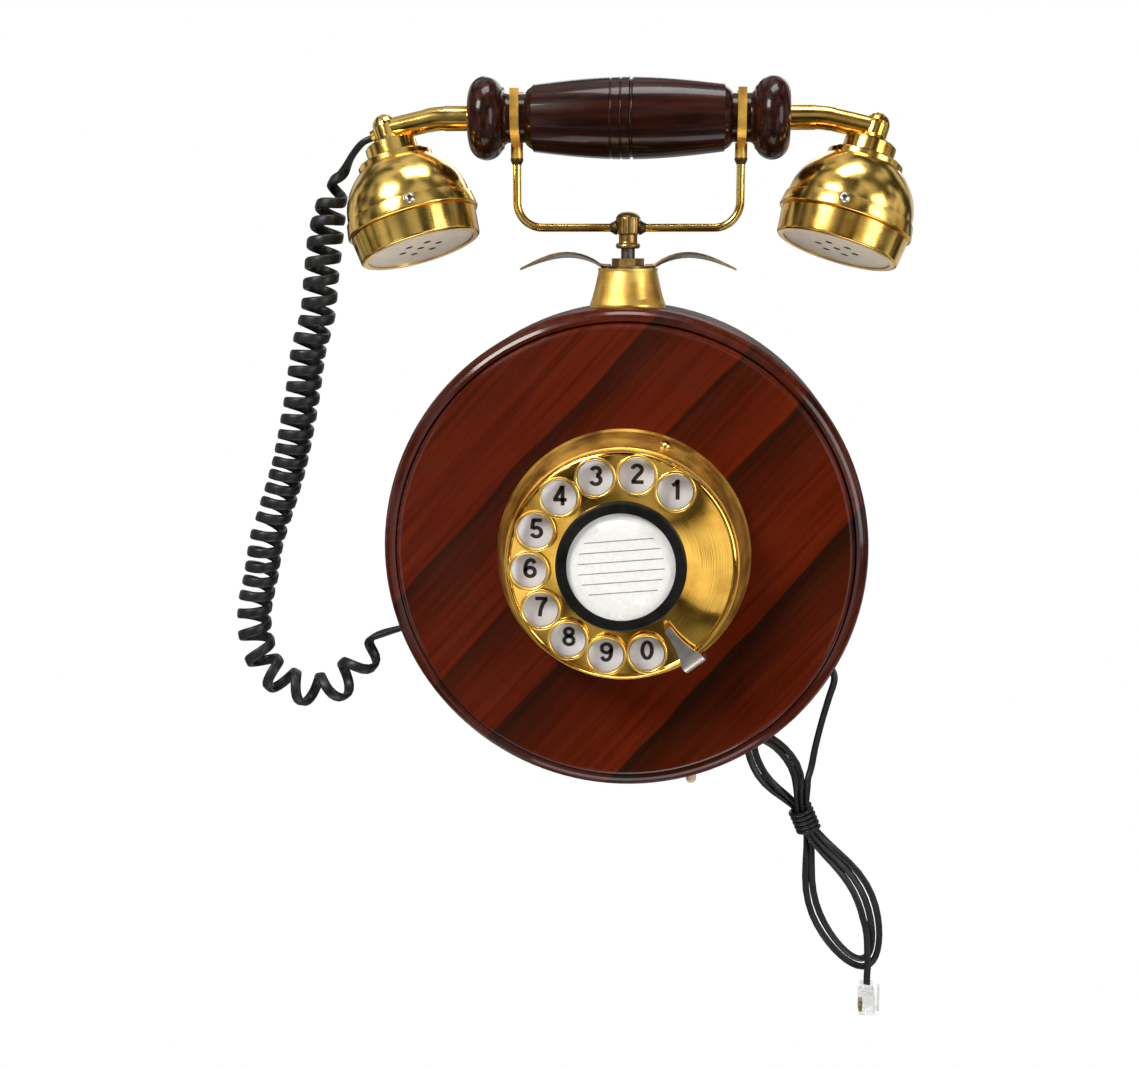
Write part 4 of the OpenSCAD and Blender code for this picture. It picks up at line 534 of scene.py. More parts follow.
# Dark brass for the wings: partly patina, partly painted shade of their undersides
brass_patina_and_shade = plain("brass_patina_and_shade", (0.07, 0.045, 0.022), (0.26, 0.18, 0.085), 0.34, grain=120, Metallic=1.0)
steel = plain("steel", (0.42, 0.41, 0.40), (0.66, 0.65, 0.63), 0.28, Metallic=1.0)
steel_bright = plain("steel_bright", (0.68, 0.64, 0.59), (0.84, 0.81, 0.76), 0.3, Metallic=1.0)
steel_dark = plain("steel_dark", (0.07, 0.06, 0.05), (0.16, 0.14, 0.12), 0.42, Metallic=1.0)
enamel_white = plain("enamel_white", (0.74, 0.81, 0.95), (0.80, 0.87, 1.0), 0.3, Coat_Weight=0.4)
paper = plain("paper", (0.82, 0.82, 0.80), (0.90, 0.90, 0.88), 0.7, grain=900)
plastic_black = plain(
    "plastic_black", (0.003, 0.003, 0.003), (0.008, 0.008, 0.008), 0.4, Specular_IOR_Level=0.2)
plastic_white = plain("plastic_white", (0.84, 0.74, 0.60), (0.93, 0.84, 0.70), 0.4)
plastic_cream = plain("plastic_cream", (0.55, 0.43, 0.22), (0.72, 0.60, 0.36), 0.35)
board_green = plain("board_green", (0.01, 0.06, 0.02), (0.03, 0.12, 0.05), 0.4)
cord_black = plain(
    "cord_black", (0.006, 0.0065, 0.0065), (0.012, 0.013, 0.013), 0.42, grain=500, bump=0.00004,
    Specular_IOR_Level=0.35)
ink = plain("ink", (0.012, 0.010, 0.010), (0.025, 0.022, 0.022), 0.5, grain=900)
ink_grey = plain("ink_grey", (0.16, 0.17, 0.19), (0.24, 0.25, 0.27), 0.6, grain=900)
solder_dark = plain("solder_dark", (0.05, 0.036, 0.02), (0.14, 0.10, 0.05), 0.45, grain=500, Metallic=1.0)
# A dark finish that is painted shade, in the screws' slots and behind the grilles' holes
painted_shade = plain("painted_shade", (0.006, 0.005, 0.004), (0.018, 0.014, 0.011), 0.6, Specular_IOR_Level=0.1)
contact_gold = plain("contact_gold", (0.70, 0.46, 0.12), (0.86, 0.62, 0.22), 0.2, Metallic=1.0)
window_clear = clear("window_clear", (0.97, 0.98, 0.98), 0.02, Alpha=0.1)
plug_clear = clear("plug_clear", (0.95, 0.96, 0.96), 0.06, Alpha=0.3)

FINISHES = {
    case_wood: ["case_shell"],
    cover_wood: ["rear_cover"],
    brass_satin: ["saddles"],
    brass_plain: ["fork_rod", "arm_left", "arm_right", "dial_cup_screw"],
    brass_cup: ["dial_cup"],
    brass_wheel: ["finger_wheel"],
    brass_upright: ["cradle_cone"],
    brass_olive: ["cradle_nut", "cradle_thimble"],
    brass_patina_and_shade: ["leaf_wings"],
    brass_dull: [
        "main_gear", "pulse_gear", "governor_wheel", "governor_cup", "governor_weights", "pulse_contacts",
        "plunger_bush", "bush_locknut", "hook_switch_contacts"],
    steel: [
        "cover_screws", "hanger_plate", "hanger_screws", "dial_front_plate", "dial_fix_screws",
        "dial_rear_bridge", "bridge_screws", "dial_mainspring", "dial_shaft", "pulse_shaft", "governor_shaft",
        "hook_switch_bracket", "hook_spring", "bell_screws", "receiver_capsule"],
    steel_bright: ["finger_stop"],
    steel_dark: ["plunger_rod"],
    enamel_white: ["number_plate"],
    paper: ["dial_card"],
    plastic_black: ["card_ring", "pulse_cam", "transmitter_capsule", "ringer_switch", "ringer_sounder"],
    plastic_cream: ["ringer_button"],
    board_green: ["circuit_board"],
    cord_black: ["cord_grommets"],
}
for material, names in FINISHES.items():
    for name in names:
        slots = NODES[name].data.materials
        slots.clear()
        slots.append(material)

# Cords. FLAT squares a cable's section and leaves its edges round; NUDGE is a step that tells a direction
CABLE_SIDES = 16
FLAT = 0.65
NUDGE = 0.01


def squared(x, power):
    return math.copysign(abs(x) ** power, x)


def tube(path, thin, widths, thick, sides, power=1.0):
    """Points and faces of a tube along a path, oval or, with a lower power, flat with round edges.

    thin gives each point's thin direction.
    """
    points, faces = [], []
    for i, p in enumerate(path):
        ahead = (path[min(i + 1, len(path) - 1)] - path[max(i - 1, 0)]).normalized()
        across = ahead.cross(thin[i]).normalized()
        flat = across.cross(ahead)
        for k in range(sides):
            a = 2 * math.pi * k / sides
            wide, high = squared(math.cos(a), power), squared(math.sin(a), power)
            points.append(p + across * (widths[i] / 2 * wide) + flat * (thick / 2 * high))
    for i in range(len(path) - 1):
        for k in range(sides):
            a, b = i * sides + k, i * sides + (k + 1) % sides
            faces.append((a, b, b + sides, a + sides))
    faces.append(list(range(sides)))
    faces.append([(len(path) - 1) * sides + k for k in range(sides)])
    return points, faces


# The curly cord leaves the spigot on the left arm and goes into the case's left grommet.
# It is narrow for a short way from each end, and then widens
CURL_START = Vector((-101.454, -29.488, 161.515))
CURL_WAY = Vector((-0.8593, 0.2151, -0.4641))
CURL_END = Vector((-90.283, -16, -38.323))
CURL_END_WAY = Vector((-0.9205, 0, -0.3907))
CURL_LEAD = 6.4
CURL_R = 6
CURL_W = 4.3
CURL_END_W = 3.6
CURL_NARROW_LEN = 8
CURL_WIDEN_LEN = 12
CURL_T = 2.6
RINGS_PER_CURL = 18
LEAD_RINGS = 8
# Its route: x, y, z, curls so far, radius of the curls
CURL_ROUTE = [
    (*CURL_START, 0, 0),
    (*(CURL_START + CURL_LEAD * CURL_WAY), 0, 0),
    (-114.5, -21, 150, 0.1, 0.5),
    (-120, -19, 138, 1, 4.5),
    (-123, -21, 123, 3, CURL_R),
    (-125, -22, 107, 5, CURL_R),
    (-127, -22, 91, 7, CURL_R),
    (-131, -22, 77, 9, CURL_R),
    (-134, -22, 59, 11.8, CURL_R),
    (-137, -22, 44, 14, CURL_R),
    (-140, -22, 31, 16.2, CURL_R),
    (-143, -22, 21, 18, CURL_R),
    (-147, -22, 9, 20, CURL_R),
    (-151, -22, -3, 21.7, CURL_R),
    (-154, -21, -18, 24, CURL_R),
    (-157, -21, -31, 26, CURL_R),
    (-157, -21, -44, 27.6, CURL_R),
    (-152, -21, -58, 29, CURL_R),
    (-140, -21, -66, 30.2, CURL_R),
    (-125, -20, -66, 31.3, CURL_R),
    (-113, -18, -56, 32.3, CURL_R),
    (-106, -17, -46, 33, 2),
    (*(CURL_END + CURL_LEAD * CURL_END_WAY), 33, 0),
    (*CURL_END, 33, 0),
]
CURL_ROUTE = [Vector(p) for p in CURL_ROUTE]
CURL_LAST = len(CURL_ROUTE) - 1
# The cord is cut here, into two lengths
CURL_CUT = 15


def curl_point(t):
    """A point of the cable and the outward direction of its curl, at a parameter of the route."""
    p = spline(CURL_ROUTE, t)
    ahead = spline(CURL_ROUTE, min(t + NUDGE, CURL_LAST)) - spline(CURL_ROUTE, max(t - NUDGE, 0))
    d = Vector(ahead[:3]).normalized()
    n = Vector((-d.z, 0, d.x)).normalized()
    turn = 2 * math.pi * p[3]
    out = math.cos(turn) * n + math.sin(turn) * d.cross(n)
    return Vector(p[:3]) + max(0, p[4]) * out, out


def curl_length(first, last):
    """Points and thin directions of the cable between two points of its route."""
    spots = []
    for i in range(first, last):
        curls = CURL_ROUTE[i + 1][3] - CURL_ROUTE[i][3]
        steps = max(LEAD_RINGS, math.ceil(RINGS_PER_CURL * curls))
        spots += [curl_point(i + k / steps) for k in range(steps)]
    spots.append(curl_point(last))
    return [s[0] for s in spots], [s[1] for s in spots]


def curly_cord(name, first, last, exit_at, reverse=False):
    """One length of the cord."""
    path, thin = curl_length(first, last)
    shares = [min(max(((p - exit_at).length - CURL_NARROW_LEN) / CURL_WIDEN_LEN, 0), 1) for p in path]
    widths = [CURL_END_W + (CURL_W - CURL_END_W) * share for share in shares]
    cable = add_mesh(name, *tube(path, thin, widths, CURL_T, CABLE_SIDES, FLAT), cord_black)
    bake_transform(cable)
    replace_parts(cable, "handset_cord")
    if reverse:
        path.reverse()


curly_cord(
    "curly_cord_upper", 0, CURL_CUT, CURL_START)
curly_cord(
    "curly_cord_lower", CURL_CUT, CURL_LAST, CURL_END,
    reverse=True)

# The line cord runs from the right grommet into a tied hank and ends in a clear plug
LINE_START = Vector((82.257, -16, -53.418))
LINE_START_WAY = Vector((0.8387, 0, -0.5446))
LINE_LEAD = 4
LINE_W = 2.9
LINE_T = 1.7
LINE_STEPS = 6
LINE_ROUTE = [(86.8, -16.6, -60), (84.6, -17, -68), (82, -17, -78), (79.6, -17, -89), (78.2, -16.4, -98)]
# It rolls to and fro by so many degrees over a length
ROLL_SWING = 35
ROLL_LEN = 110
HANK_WAIST = Vector((76, -13, -122))
HANK_TILT = math.radians(23)
HANK_UP = Vector((-math.sin(HANK_TILT), 0, math.cos(HANK_TILT)))
HANK_TOP = 40
HANK_TOP_LEAN = math.radians(8)
HANK_BOTTOM = 66
HANK_LOW_HALF = 8
HANK_TOP_HALF = 6
HANK_WAIST_LEN = 28
HANK_FAN_LEN = 18
HANK_DEPTH = 3.4
HANK_STEP = 3.7
HANK_LANE = 2.2
HANK_LOOPS = 3
HANK_TURNS = (0.18, 2.38)
HANK_RINGS = 60
HANK_TAIL_TURN = 0.1
WAIST_ROLL_LEN = 15
PLUG_AT = Vector((104, -18, -194))


def hank_place(side, out, s):
    """A point beside the hank's middle line, out from it and some way up it."""
    lean = HANK_TILT + HANK_TOP_LEAN * max(0, s) / HANK_TOP
    c, d = math.cos(lean), math.sin(lean)
    return HANK_WAIST + Vector((side * c - s * d, -out, side * d + s * c))


def hank_point(turn):
    """Down the right side in front and up the left side behind, inward from loop to loop."""
    a = 2 * math.pi * turn
    nest = HANK_STEP * (HANK_LOOPS - turn)
    s = (HANK_TOP - HANK_BOTTOM) / 2 + ((HANK_TOP + HANK_BOTTOM) / 2 - HANK_STEP + nest) * math.cos(a)
    wide = 1 - math.exp(-(s / (HANK_WAIST_LEN if s < 0 else HANK_FAN_LEN)) ** 2)
    eye = (HANK_LOW_HALF if s < 0 else HANK_TOP_HALF) + nest
    lane = HANK_LANE * (sum(HANK_TURNS) / 2 - turn)
    return hank_place(math.sin(a) * (lane + (eye - lane) * wide), HANK_DEPTH / 2 * math.sin(a), s)


def line_path():
    first, last = HANK_TURNS
    start = hank_point(first)
    way = (hank_point(first + NUDGE) - start).normalized()
    lead = [LINE_START, LINE_START + LINE_LEAD * LINE_START_WAY]
    lead += [Vector(p) for p in LINE_ROUTE] + [start - LINE_LEAD * way, start]
    path = [spline(lead, i / LINE_STEPS) for i in range(LINE_STEPS * (len(lead) - 1))]
    rings = int(HANK_RINGS * (last - first))
    path += [hank_point(first + (last - first) * i / rings) for i in range(rings)]
    tail = [hank_point(last - HANK_TAIL_TURN), hank_point(last)]
    tail += [PLUG_AT + Vector((0, 0, up)) for up in (3 * LINE_LEAD, LINE_LEAD, 0)]
    return path + [spline(tail, 1 + i / LINE_STEPS) for i in range(LINE_STEPS * (len(tail) - 2) + 1)]


def roll_along(path):
    """Thin directions of a flat cord that faces the front, rolls, and stands on edge at the waist."""
    out, run = [], 0.0
    side = HANK_UP.cross(Vector(FRONT))
    for i, p in enumerate(path):
        run += (p - path[i - 1]).length if i else 0.0
        edge = math.exp(-((p - HANK_WAIST).dot(HANK_UP) / WAIST_ROLL_LEN) ** 2)
        swing = math.radians(ROLL_SWING) * math.sin(2 * math.pi * run / ROLL_LEN)
        a = (1 - edge) * swing + edge * math.pi / 2
        out.append(math.sin(a) * side - math.cos(a) * Vector(BACK))
    return out


def line_cord():
    path = line_path()
    shape = tube(path, roll_along(path), [LINE_W] * len(path), LINE_T, CABLE_SIDES, FLAT)
    cable = add_mesh("line_cord_and_hank", *shape, cord_black)
    ride(cable, "case")
    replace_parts(cable, "line_cord", "line_cord_hank")
    return cable, path


# The tie: a thin cord wound round the hank's waist
TIE_D = 1.9
TIE_SIDE = 4.5
TIE_OUT = 4.3
TIE_TURNS = 5
TIE_PITCH = 2.05
TIE_RINGS = 28
TIE_SIDES = 10


def cord_tie():
    path = []
    for i in range(TIE_RINGS * TIE_TURNS + 1):
        t = i / TIE_RINGS
        a = 2 * math.pi * t
        up = TIE_PITCH * (t - TIE_TURNS / 2)
        path.append(hank_place(TIE_SIDE * math.cos(a), TIE_OUT * math.sin(a), up))
    shape = tube(path, [HANK_UP] * len(path), [TIE_D] * len(path), TIE_D, TIE_SIDES)
    tie = add_mesh("hank_tie", *shape, cord_black)
    ride(tie, "case")
    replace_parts(tie, "cord_tie")
    return tie


# The plug: a clear body with a neck, a latch on a foot, and gilt contacts
PLUG_W = 9.6
PLUG_D = 6.6
PLUG_L = 12
NECK_W = 8.2
NECK_D = 5.4
NECK_L = 3.4
LATCH_W = 3.2
LATCH_T = 0.8
LATCH_OUT = 1.7
FOOT_D = 2.2
FOOT_OUT = 1.0
FOOT_L = 1
CONTACTS = 4
CONTACT_SIZE = (0.4, 1.6, 5)
CONTACT_PITCH = 1.02
CONTACT_IN = 0.75
CONTACT_UP = 2.8


def in_plug(dx, dy, dz):
    """A place in the plug's own frame, which is a quarter turn round from the part's."""
    turn = Matrix.Rotation(math.pi / 2, 4, "Z")
    return Matrix.Translation(PLUG_AT) @ turn @ Matrix.Translation((dx, dy, dz))


def line_plug():
    body_l = PLUG_L - NECK_L
    body = add_mesh("modular_plug", *joined([
        block((PLUG_W, PLUG_D, body_l), in_plug(0, 0, -NECK_L - body_l / 2)),
        block((NECK_W, NECK_D, NECK_L), in_plug(0, 0, -NECK_L / 2)),
        block((LATCH_W, LATCH_T, PLUG_L - FOOT_L), in_plug(0, -PLUG_D / 2 - LATCH_OUT, -PLUG_L / 2)),
        block((LATCH_W, FOOT_D, FOOT_L), in_plug(0, -PLUG_D / 2 - FOOT_OUT, -PLUG_L + FOOT_L)),
    ]), plug_clear, smooth=False)
    ride(body, "case")
    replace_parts(body, "line_plug")
    blades = []
    for i in range(CONTACTS):
        across = (i - (CONTACTS - 1) / 2) * CONTACT_PITCH
        blades.append(block(CONTACT_SIZE, in_plug(across, PLUG_D / 2 - CONTACT_IN, -PLUG_L + CONTACT_UP)))
    contacts = add_mesh("plug_contacts", *joined(blades), contact_gold, smooth=False)
    ride(contacts, "case")
    return body, contacts


line, line_points = line_cord()
cord_tie()
line_plug()

# The dial: its holes' circle and angles in degrees, and how far out from the wall its faces are
HOLES = 10
HOLE_CIRCLE = 35.2
FIRST_HOLE = 55
HOLE_PITCH = 360 / 14
PLATE_OUT = 76.6
PRINT_T = 0.05
CARD_OUT = 82.8
# Digits: their height, their strokes' width as a share of it, and how much they are widened
DIGIT_H = 7.7
DIGIT_STROKE = 0.185
DIGIT_STRETCH = 1.08
SIX = [bow(0.31, 0.31, 0.225, 0.225, 0, 360), swung(
    [(0.525, 0.745), (0.45, 0.875), (0.32, 0.915), (0.20, 0.85), (0.12, 0.68), (0.087, 0.47), (0.085, 0.31)])]
NINE = [[Vector((0.62 - p.x, 1 - p.y)) for p in stroke] for stroke in SIX]
# Each digit's strokes, one unit high
STROKES = {
    "0": [bow(0.31, 0.5, 0.22, 0.415, 0, 360)],
    "1": [swung([(0.335, 1), (0.335, 0.5), (0.335, 0)]), swung([(0.335, 0.93), (0.24, 0.80), (0.09, 0.70)])],
    "2": [bow(0.305, 0.70, 0.215, 0.215, 170, -38) + swung([(0.45, 0.545), (0.22, 0.28), (0.10, 0.085)]),
          swung([(0.05, 0.085), (0.32, 0.085), (0.60, 0.085)])],
    "3": [bow(0.30, 0.725, 0.195, 0.19, 165, -85), bow(0.30, 0.295, 0.22, 0.21, 85, -165)],
    "4": [swung([(0.40, 0.95), (0.25, 0.64), (0.08, 0.32)]), swung([(0.0, 0.29), (0.3, 0.29), (0.62, 0.29)]),
          swung([(0.43, 1), (0.43, 0.5), (0.43, 0)])],
    "5": [swung([(0.56, 0.915), (0.36, 0.915), (0.12, 0.915)]),
          swung([(0.175, 0.95), (0.14, 0.72), (0.105, 0.47)]), bow(0.30, 0.315, 0.225, 0.23, 140, -160)],
    "6": SIX,
    "7": [swung([(0.03, 0.915), (0.3, 0.915), (0.60, 0.915)]),
          swung([(0.555, 0.90), (0.40, 0.66), (0.29, 0.36), (0.24, 0)])],
    "8": [bow(0.31, 0.735, 0.19, 0.18, 0, 360), bow(0.31, 0.295, 0.22, 0.21, 0, 360)],
    "9": NINE,
}


def hole_at(i):
    """The x and z of a finger hole's centre, counted from the first."""
    return on_circle(HOLE_CIRCLE, math.radians(FIRST_HOLE + i * HOLE_PITCH))


def ribbon(stroke):
    """Points and faces of a flat stroke."""
    points = []
    for i, p in enumerate(stroke):
        way = (stroke[min(i + 1, len(stroke) - 1)] - stroke[max(i - 1, 0)]).normalized()
        across = Vector((-way.y, way.x)) * DIGIT_STROKE / 2
        points += [p + across, p - across]
    return points, [(2 * i, 2 * i + 1, 2 * i + 3, 2 * i + 2) for i in range(len(stroke) - 1)]


def printed(text, x, z):
    """Points and faces of an upright digit centred on a point of the number plate."""
    points, faces = joined([ribbon(stroke) for stroke in STROKES[text]])
    middle = (min(p.x for p in points) + max(p.x for p in points)) / 2
    wide = DIGIT_H * DIGIT_STRETCH
    y = -PLATE_OUT - PRINT_T
    return [Vector((x + (p.x - middle) * wide, y, z + (p.y - 0.5) * DIGIT_H)) for p in points], faces


def dial_digits():
    shapes = [printed(str((i + 1) % 10), *hole_at(i)) for i in range(HOLES)]
    ride(add_mesh("dial_digits", *joined(shapes), ink, smooth=False), "case")


# The rolled rims of the finger holes
LIP_R = 7.4
LIP_HALF = 0.72
LIP_OUT = 82.1
LIP_SIDES = 16
LIP_STEPS = 64


def hole_lips():
    section = [(LIP_R + p.x, p.y) for p in ring(LIP_HALF, LIP_SIDES)]
    shapes = []
    for i in range(HOLES):
        x, z = hole_at(i)
        shapes.append(turned(section, place((x, -LIP_OUT, z), FRONT), LIP_STEPS, shell=True))
    ride(add_mesh("hole_lips", *joined(shapes), brass_lip), "dial")


# The card's plain ruled lines, turned a little with it
RULE_TURN = -5
RULES = 6
RULE_TOP = 10
RULE_PITCH = 4
RULE_W = 0.35
RULED_R = 16.5


def card_lines():
    turn = Matrix.Rotation(math.radians(RULE_TURN), 4, "Y")
    shapes = []
    for i in range(RULES):
        z = RULE_TOP - RULE_PITCH * i
        half = math.sqrt(RULED_R ** 2 - z ** 2)
        at = turn @ Matrix.Translation((0, -CARD_OUT - PRINT_T / 2, z))
        shapes.append(block((2 * half, PRINT_T, RULE_W), at))
    ride(add_mesh("card_lines", *joined(shapes), ink_grey, smooth=False), "dial")


# The window, just off the card so that their faces don't meet, with a slight dome
GLASS_R = 21.3
GLASS_GAP = 0.12
GLASS_FRONT = 0.7
GLASS_DOME = 0.25
GLASS_SHARES = (0.02, 0.2, 0.4, 0.6, 0.8, 1.0)
GLASS_STEPS = 72


def card_glass():
    back, front = CARD_OUT + GLASS_GAP, CARD_OUT + GLASS_FRONT
    rise = [(GLASS_R * u, front + GLASS_DOME * (1 - u * u)) for u in GLASS_SHARES]
    profile = [(GLASS_R * GLASS_SHARES[0], back), (GLASS_R, back)] + rise[::-1]
    glass = add_mesh("card_glass", *turned(profile, place((0, 0, 0), FRONT), GLASS_STEPS), window_clear)
    ride(glass, "dial")
    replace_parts(glass, "card_window")


dial_digits()
hole_lips()
card_lines()
card_glass()

# Cross slots in the screws, each with its length, width and depth. They are dark blocks of painted shade
SIXTHS = [math.radians(60 * i) for i in range(6)]
CUP_SCREW_R = 47.28
CUP_SCREW_OUT = 68.5
CUP_SCREW_TURN = math.radians(70)
CUP_SCREW_SLOPE = math.radians(12.95)
CUP_SCREW_HEAD = 1.46
CUP_SLOT = (2.6, 0.5, 0.3)
COVER_SCREW_R = 88
HANGER_SCREW_X = 17
HANGER_SCREW_Z = 58
COVER_SLOT = (3.6, 0.7, 0.1)
BELL_SCREW_TURN = Matrix.Rotation(math.radians(-8), 4, "Z")
BELL_SCREW_SLOPE = Matrix.Rotation(math.radians(-9.46), 4, "X")
BELL_SCREW_AT = Vector((0, -25.92, 14.18))
BELL_SCREW_HEAD = 1.32
BELL_SLOT = (2.3, 0.45, 0.3)


def bell_frames():
    """The left and right bells' own frames: the middle of the face, with local z up the bell."""
    bell = Matrix.Translation(BELL_AT) @ BELL_TILT
    hang = Matrix.Translation(HANDSET_AT) @ HANDSET_ROLL
    return [hang @ Matrix.Diagonal((-1, 1, 1, 1)) @ bell, hang @ bell]


def cross(at, normal, size):
    length, width, depth = size
    spot = place(at, normal)
    return joined([block((length, width, depth), spot), block((width, length, depth), spot)])


def case_slots():
    x, z = on_circle(math.cos(CUP_SCREW_SLOPE), CUP_SCREW_TURN)
    normal = Vector((x, -math.sin(CUP_SCREW_SLOPE), z))
    x, z = on_circle(CUP_SCREW_R, CUP_SCREW_TURN)
    shapes = [cross(Vector((x, -CUP_SCREW_OUT, z)) + CUP_SCREW_HEAD * normal, normal, CUP_SLOT)]
    behind = [on_circle(COVER_SCREW_R, a) for a in SIXTHS]
    behind += [(side * HANGER_SCREW_X, HANGER_SCREW_Z) for side in (-1, 1)]
    shapes += [cross((x, 0, z), BACK, COVER_SLOT) for x, z in behind]
    # The slots' dark is painted shade
    ride(add_mesh("case_screw_slots", *joined(shapes), painted_shade, smooth=False), "case")


def bell_slots():
    shapes = []
    for bell in bell_frames():
        at = bell @ BELL_SCREW_TURN @ Matrix.Translation(BELL_SCREW_AT)
        out = (at @ BELL_SCREW_SLOPE).to_3x3() @ Vector(FRONT)
        shapes.append(cross(at.translation + BELL_SCREW_HEAD * out, out, BELL_SLOT))
    # The slots' dark is painted shade
    ride(add_mesh("bell_screw_slots", *joined(shapes), painted_shade, smooth=False), "handset")


# Bells and caps with the CAD's outlines, turned more finely. Outlines are of (radius, height)
BELL_STEPS = 128
BELL_EDGE = 28
BEAD_R = 0.8
BEAD_STEPS = 6
BELL_MOUTH = [(24, 10.5)] + [tuple(p) for p in bow(25.6, 11.3, BEAD_R, BEAD_R, -80, 0, BEAD_STEPS)]
BELL_BAND = [(25.6, 16.1), (24.7, 16.1)]
DOME_LOW = 16.5
DOME_HIGH = 34.5
DOME_TOP_R = 15.4
DOME_WIDER = 9.3
DOME_ROUND = 0.35
DOME_STEPS = 24
BELL_WALL = 1.68
BELL_NECK = [
    (14.9, 35.1), (14.9, 36.9), (14.3, 37.5), (10.8, 37.5), (10.2, 38.1), (10.2, 43.4), (9.6, 44), (2, 44),
    (2, 36.3), (12.5, 36.3)]
CAP_FRONT = [(21.4, 0), (23.2, 0)] + [tuple(p) for p in bow(23.2, 1, 1, 1, -90, 0, BEAD_STEPS)]
CAP_BACK = [(25.2, 9.9), (24.6, 10.5), (23.2, 10.5), (22.8, 1.6), (21.4, 1.6)]
# Thin grilles, with a dark disc of painted shade a little way behind their holes
GRILLE_R = 21.3
GRILLE_RING = 7.4
GRILLE_HOLE_D = 3.1
GRILLE_IN = 0.6
GRILLE_T = 0.15
HOLE_SHADE_R = 12
HOLE_SHADE_T = 0.3
HOLE_SHADE_GAP = 0.02


def dome(u, inset=0.0):
    """Radius and height of the bell's dome at a share of its height."""
    turn = math.radians(90 * u)
    rise = DOME_ROUND * math.sin(turn) + (1 - DOME_ROUND) * u
    return (DOME_TOP_R - inset + DOME_WIDER * math.cos(turn), DOME_LOW + (DOME_HIGH - DOME_LOW) * rise)


def bells():
    shares = [i / DOME_STEPS for i in range(DOME_STEPS + 1)]
    bell_side = BELL_MOUTH + BELL_BAND + [dome(u) for u in shares]
    bell_side += BELL_NECK + [dome(u, BELL_WALL) for u in reversed(shares)]
    spots = [(0, 0)] + [on_circle(GRILLE_RING, a) for a in SIXTHS]
    holes = [(x, y, GRILLE_HOLE_D / 2) for x, y in spots]
    caps, grilles, hole_shades = [], [], []
    for name, bell in zip(("bell_left", "bell_right"), bell_frames()):
        shape = turned(bell_side, bell, BELL_STEPS, shell=True)
        piece = add_mesh(name + "_turned", *shape, brass_bell, edge=BELL_EDGE)
        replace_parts(ride(piece, "handset"), name)
        caps.append(turned(CAP_FRONT + CAP_BACK, bell, BELL_STEPS, shell=True))
        at = bell @ Matrix.Translation((0, 0, GRILLE_IN))
        grilles.append(pierced(GRILLE_R, holes, GRILLE_T, at))
        at = at @ Matrix.Translation((0, 0, GRILLE_T + HOLE_SHADE_GAP))
        hole_shades.append(turned([(HOLE_SHADE_R, 0), (HOLE_SHADE_R, HOLE_SHADE_T)], at))
    piece = add_mesh("bell_caps_turned", *joined(caps), brass_bell, edge=BELL_EDGE)
    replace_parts(ride(piece, "handset"), "bell_caps")
    piece = add_mesh("grilles_pierced", *joined(grilles), plastic_white, smooth=False)
    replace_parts(ride(piece, "handset"), "grilles")
    # Dark discs behind the grilles: painted shade seen through their holes
    ride(add_mesh("grille_hole_shade", *joined(hole_shades), painted_shade, smooth=False), "handset")


# The grip with the CAD's outline, turned more finely: a barrel, and at each end a shoulder, a neck that
# flares out and a round knob. Grooves are (place along the grip, width)
GRIP_STEPS = 128
GRIP_EDGE = 35
BARREL_HALF = 37.4
BARREL_R = 15.9
BARREL_TAPER = 2.9
BARREL_RINGS = 60
GRIP_GROOVES = [(-6.8, 0.9), (-2.9, 0.9), (1.2, 1.5)]
GROOVE_KEEP = 0.55
GROOVE_SHARE = 0.499
GROOVE_RINGS = 5
GROOVE_EDGE = 0.002
GRIP_NECK_R = 9.5
SHOULDER_W = 2.9
SHOULDER_L = 3
SHOULDER_SHARES = (0, 0.1, 0.2, 0.4, 0.6, 0.8, 0.9, 1)
FLARE_R = 2.4
FLARE_AT = 49.3
FLARE_RINGS = 10
KNOB_AT = 56
KNOB_R = 6.7
KNOB_START = 150
KNOB_RINGS = 30


def barrel(x):
    """Radius and place of the barrel's outline, with its grooves."""
    r = BARREL_R - BARREL_TAPER + BARREL_TAPER * math.cos(math.pi / 2 * x / BARREL_HALF)
    for at, width in GRIP_GROOVES:
        if abs(x - at) < width / 2:
            r = min(r, BARREL_R - math.sqrt(width * width / 4 - (x - at) ** 2))
    return (r, x)


def barrel_places():
    """Even steps along the barrel, with finer ones in the grooves and a pair at each of their edges."""
    places = [-BARREL_HALF + 2 * BARREL_HALF * i / BARREL_RINGS for i in range(BARREL_RINGS + 1)]
    for at, width in GRIP_GROOVES:
        step = GROOVE_SHARE * width / GROOVE_RINGS
        places = [x for x in places if abs(x - at) > GROOVE_KEEP * width]
        places += [at + step * i for i in range(-GROOVE_RINGS, GROOVE_RINGS + 1)]
    for at, width in GRIP_GROOVES:
        for edge in (at - width / 2, at + width / 2):
            places += [edge - GROOVE_EDGE, edge + GROOVE_EDGE]
    return sorted(set(places))


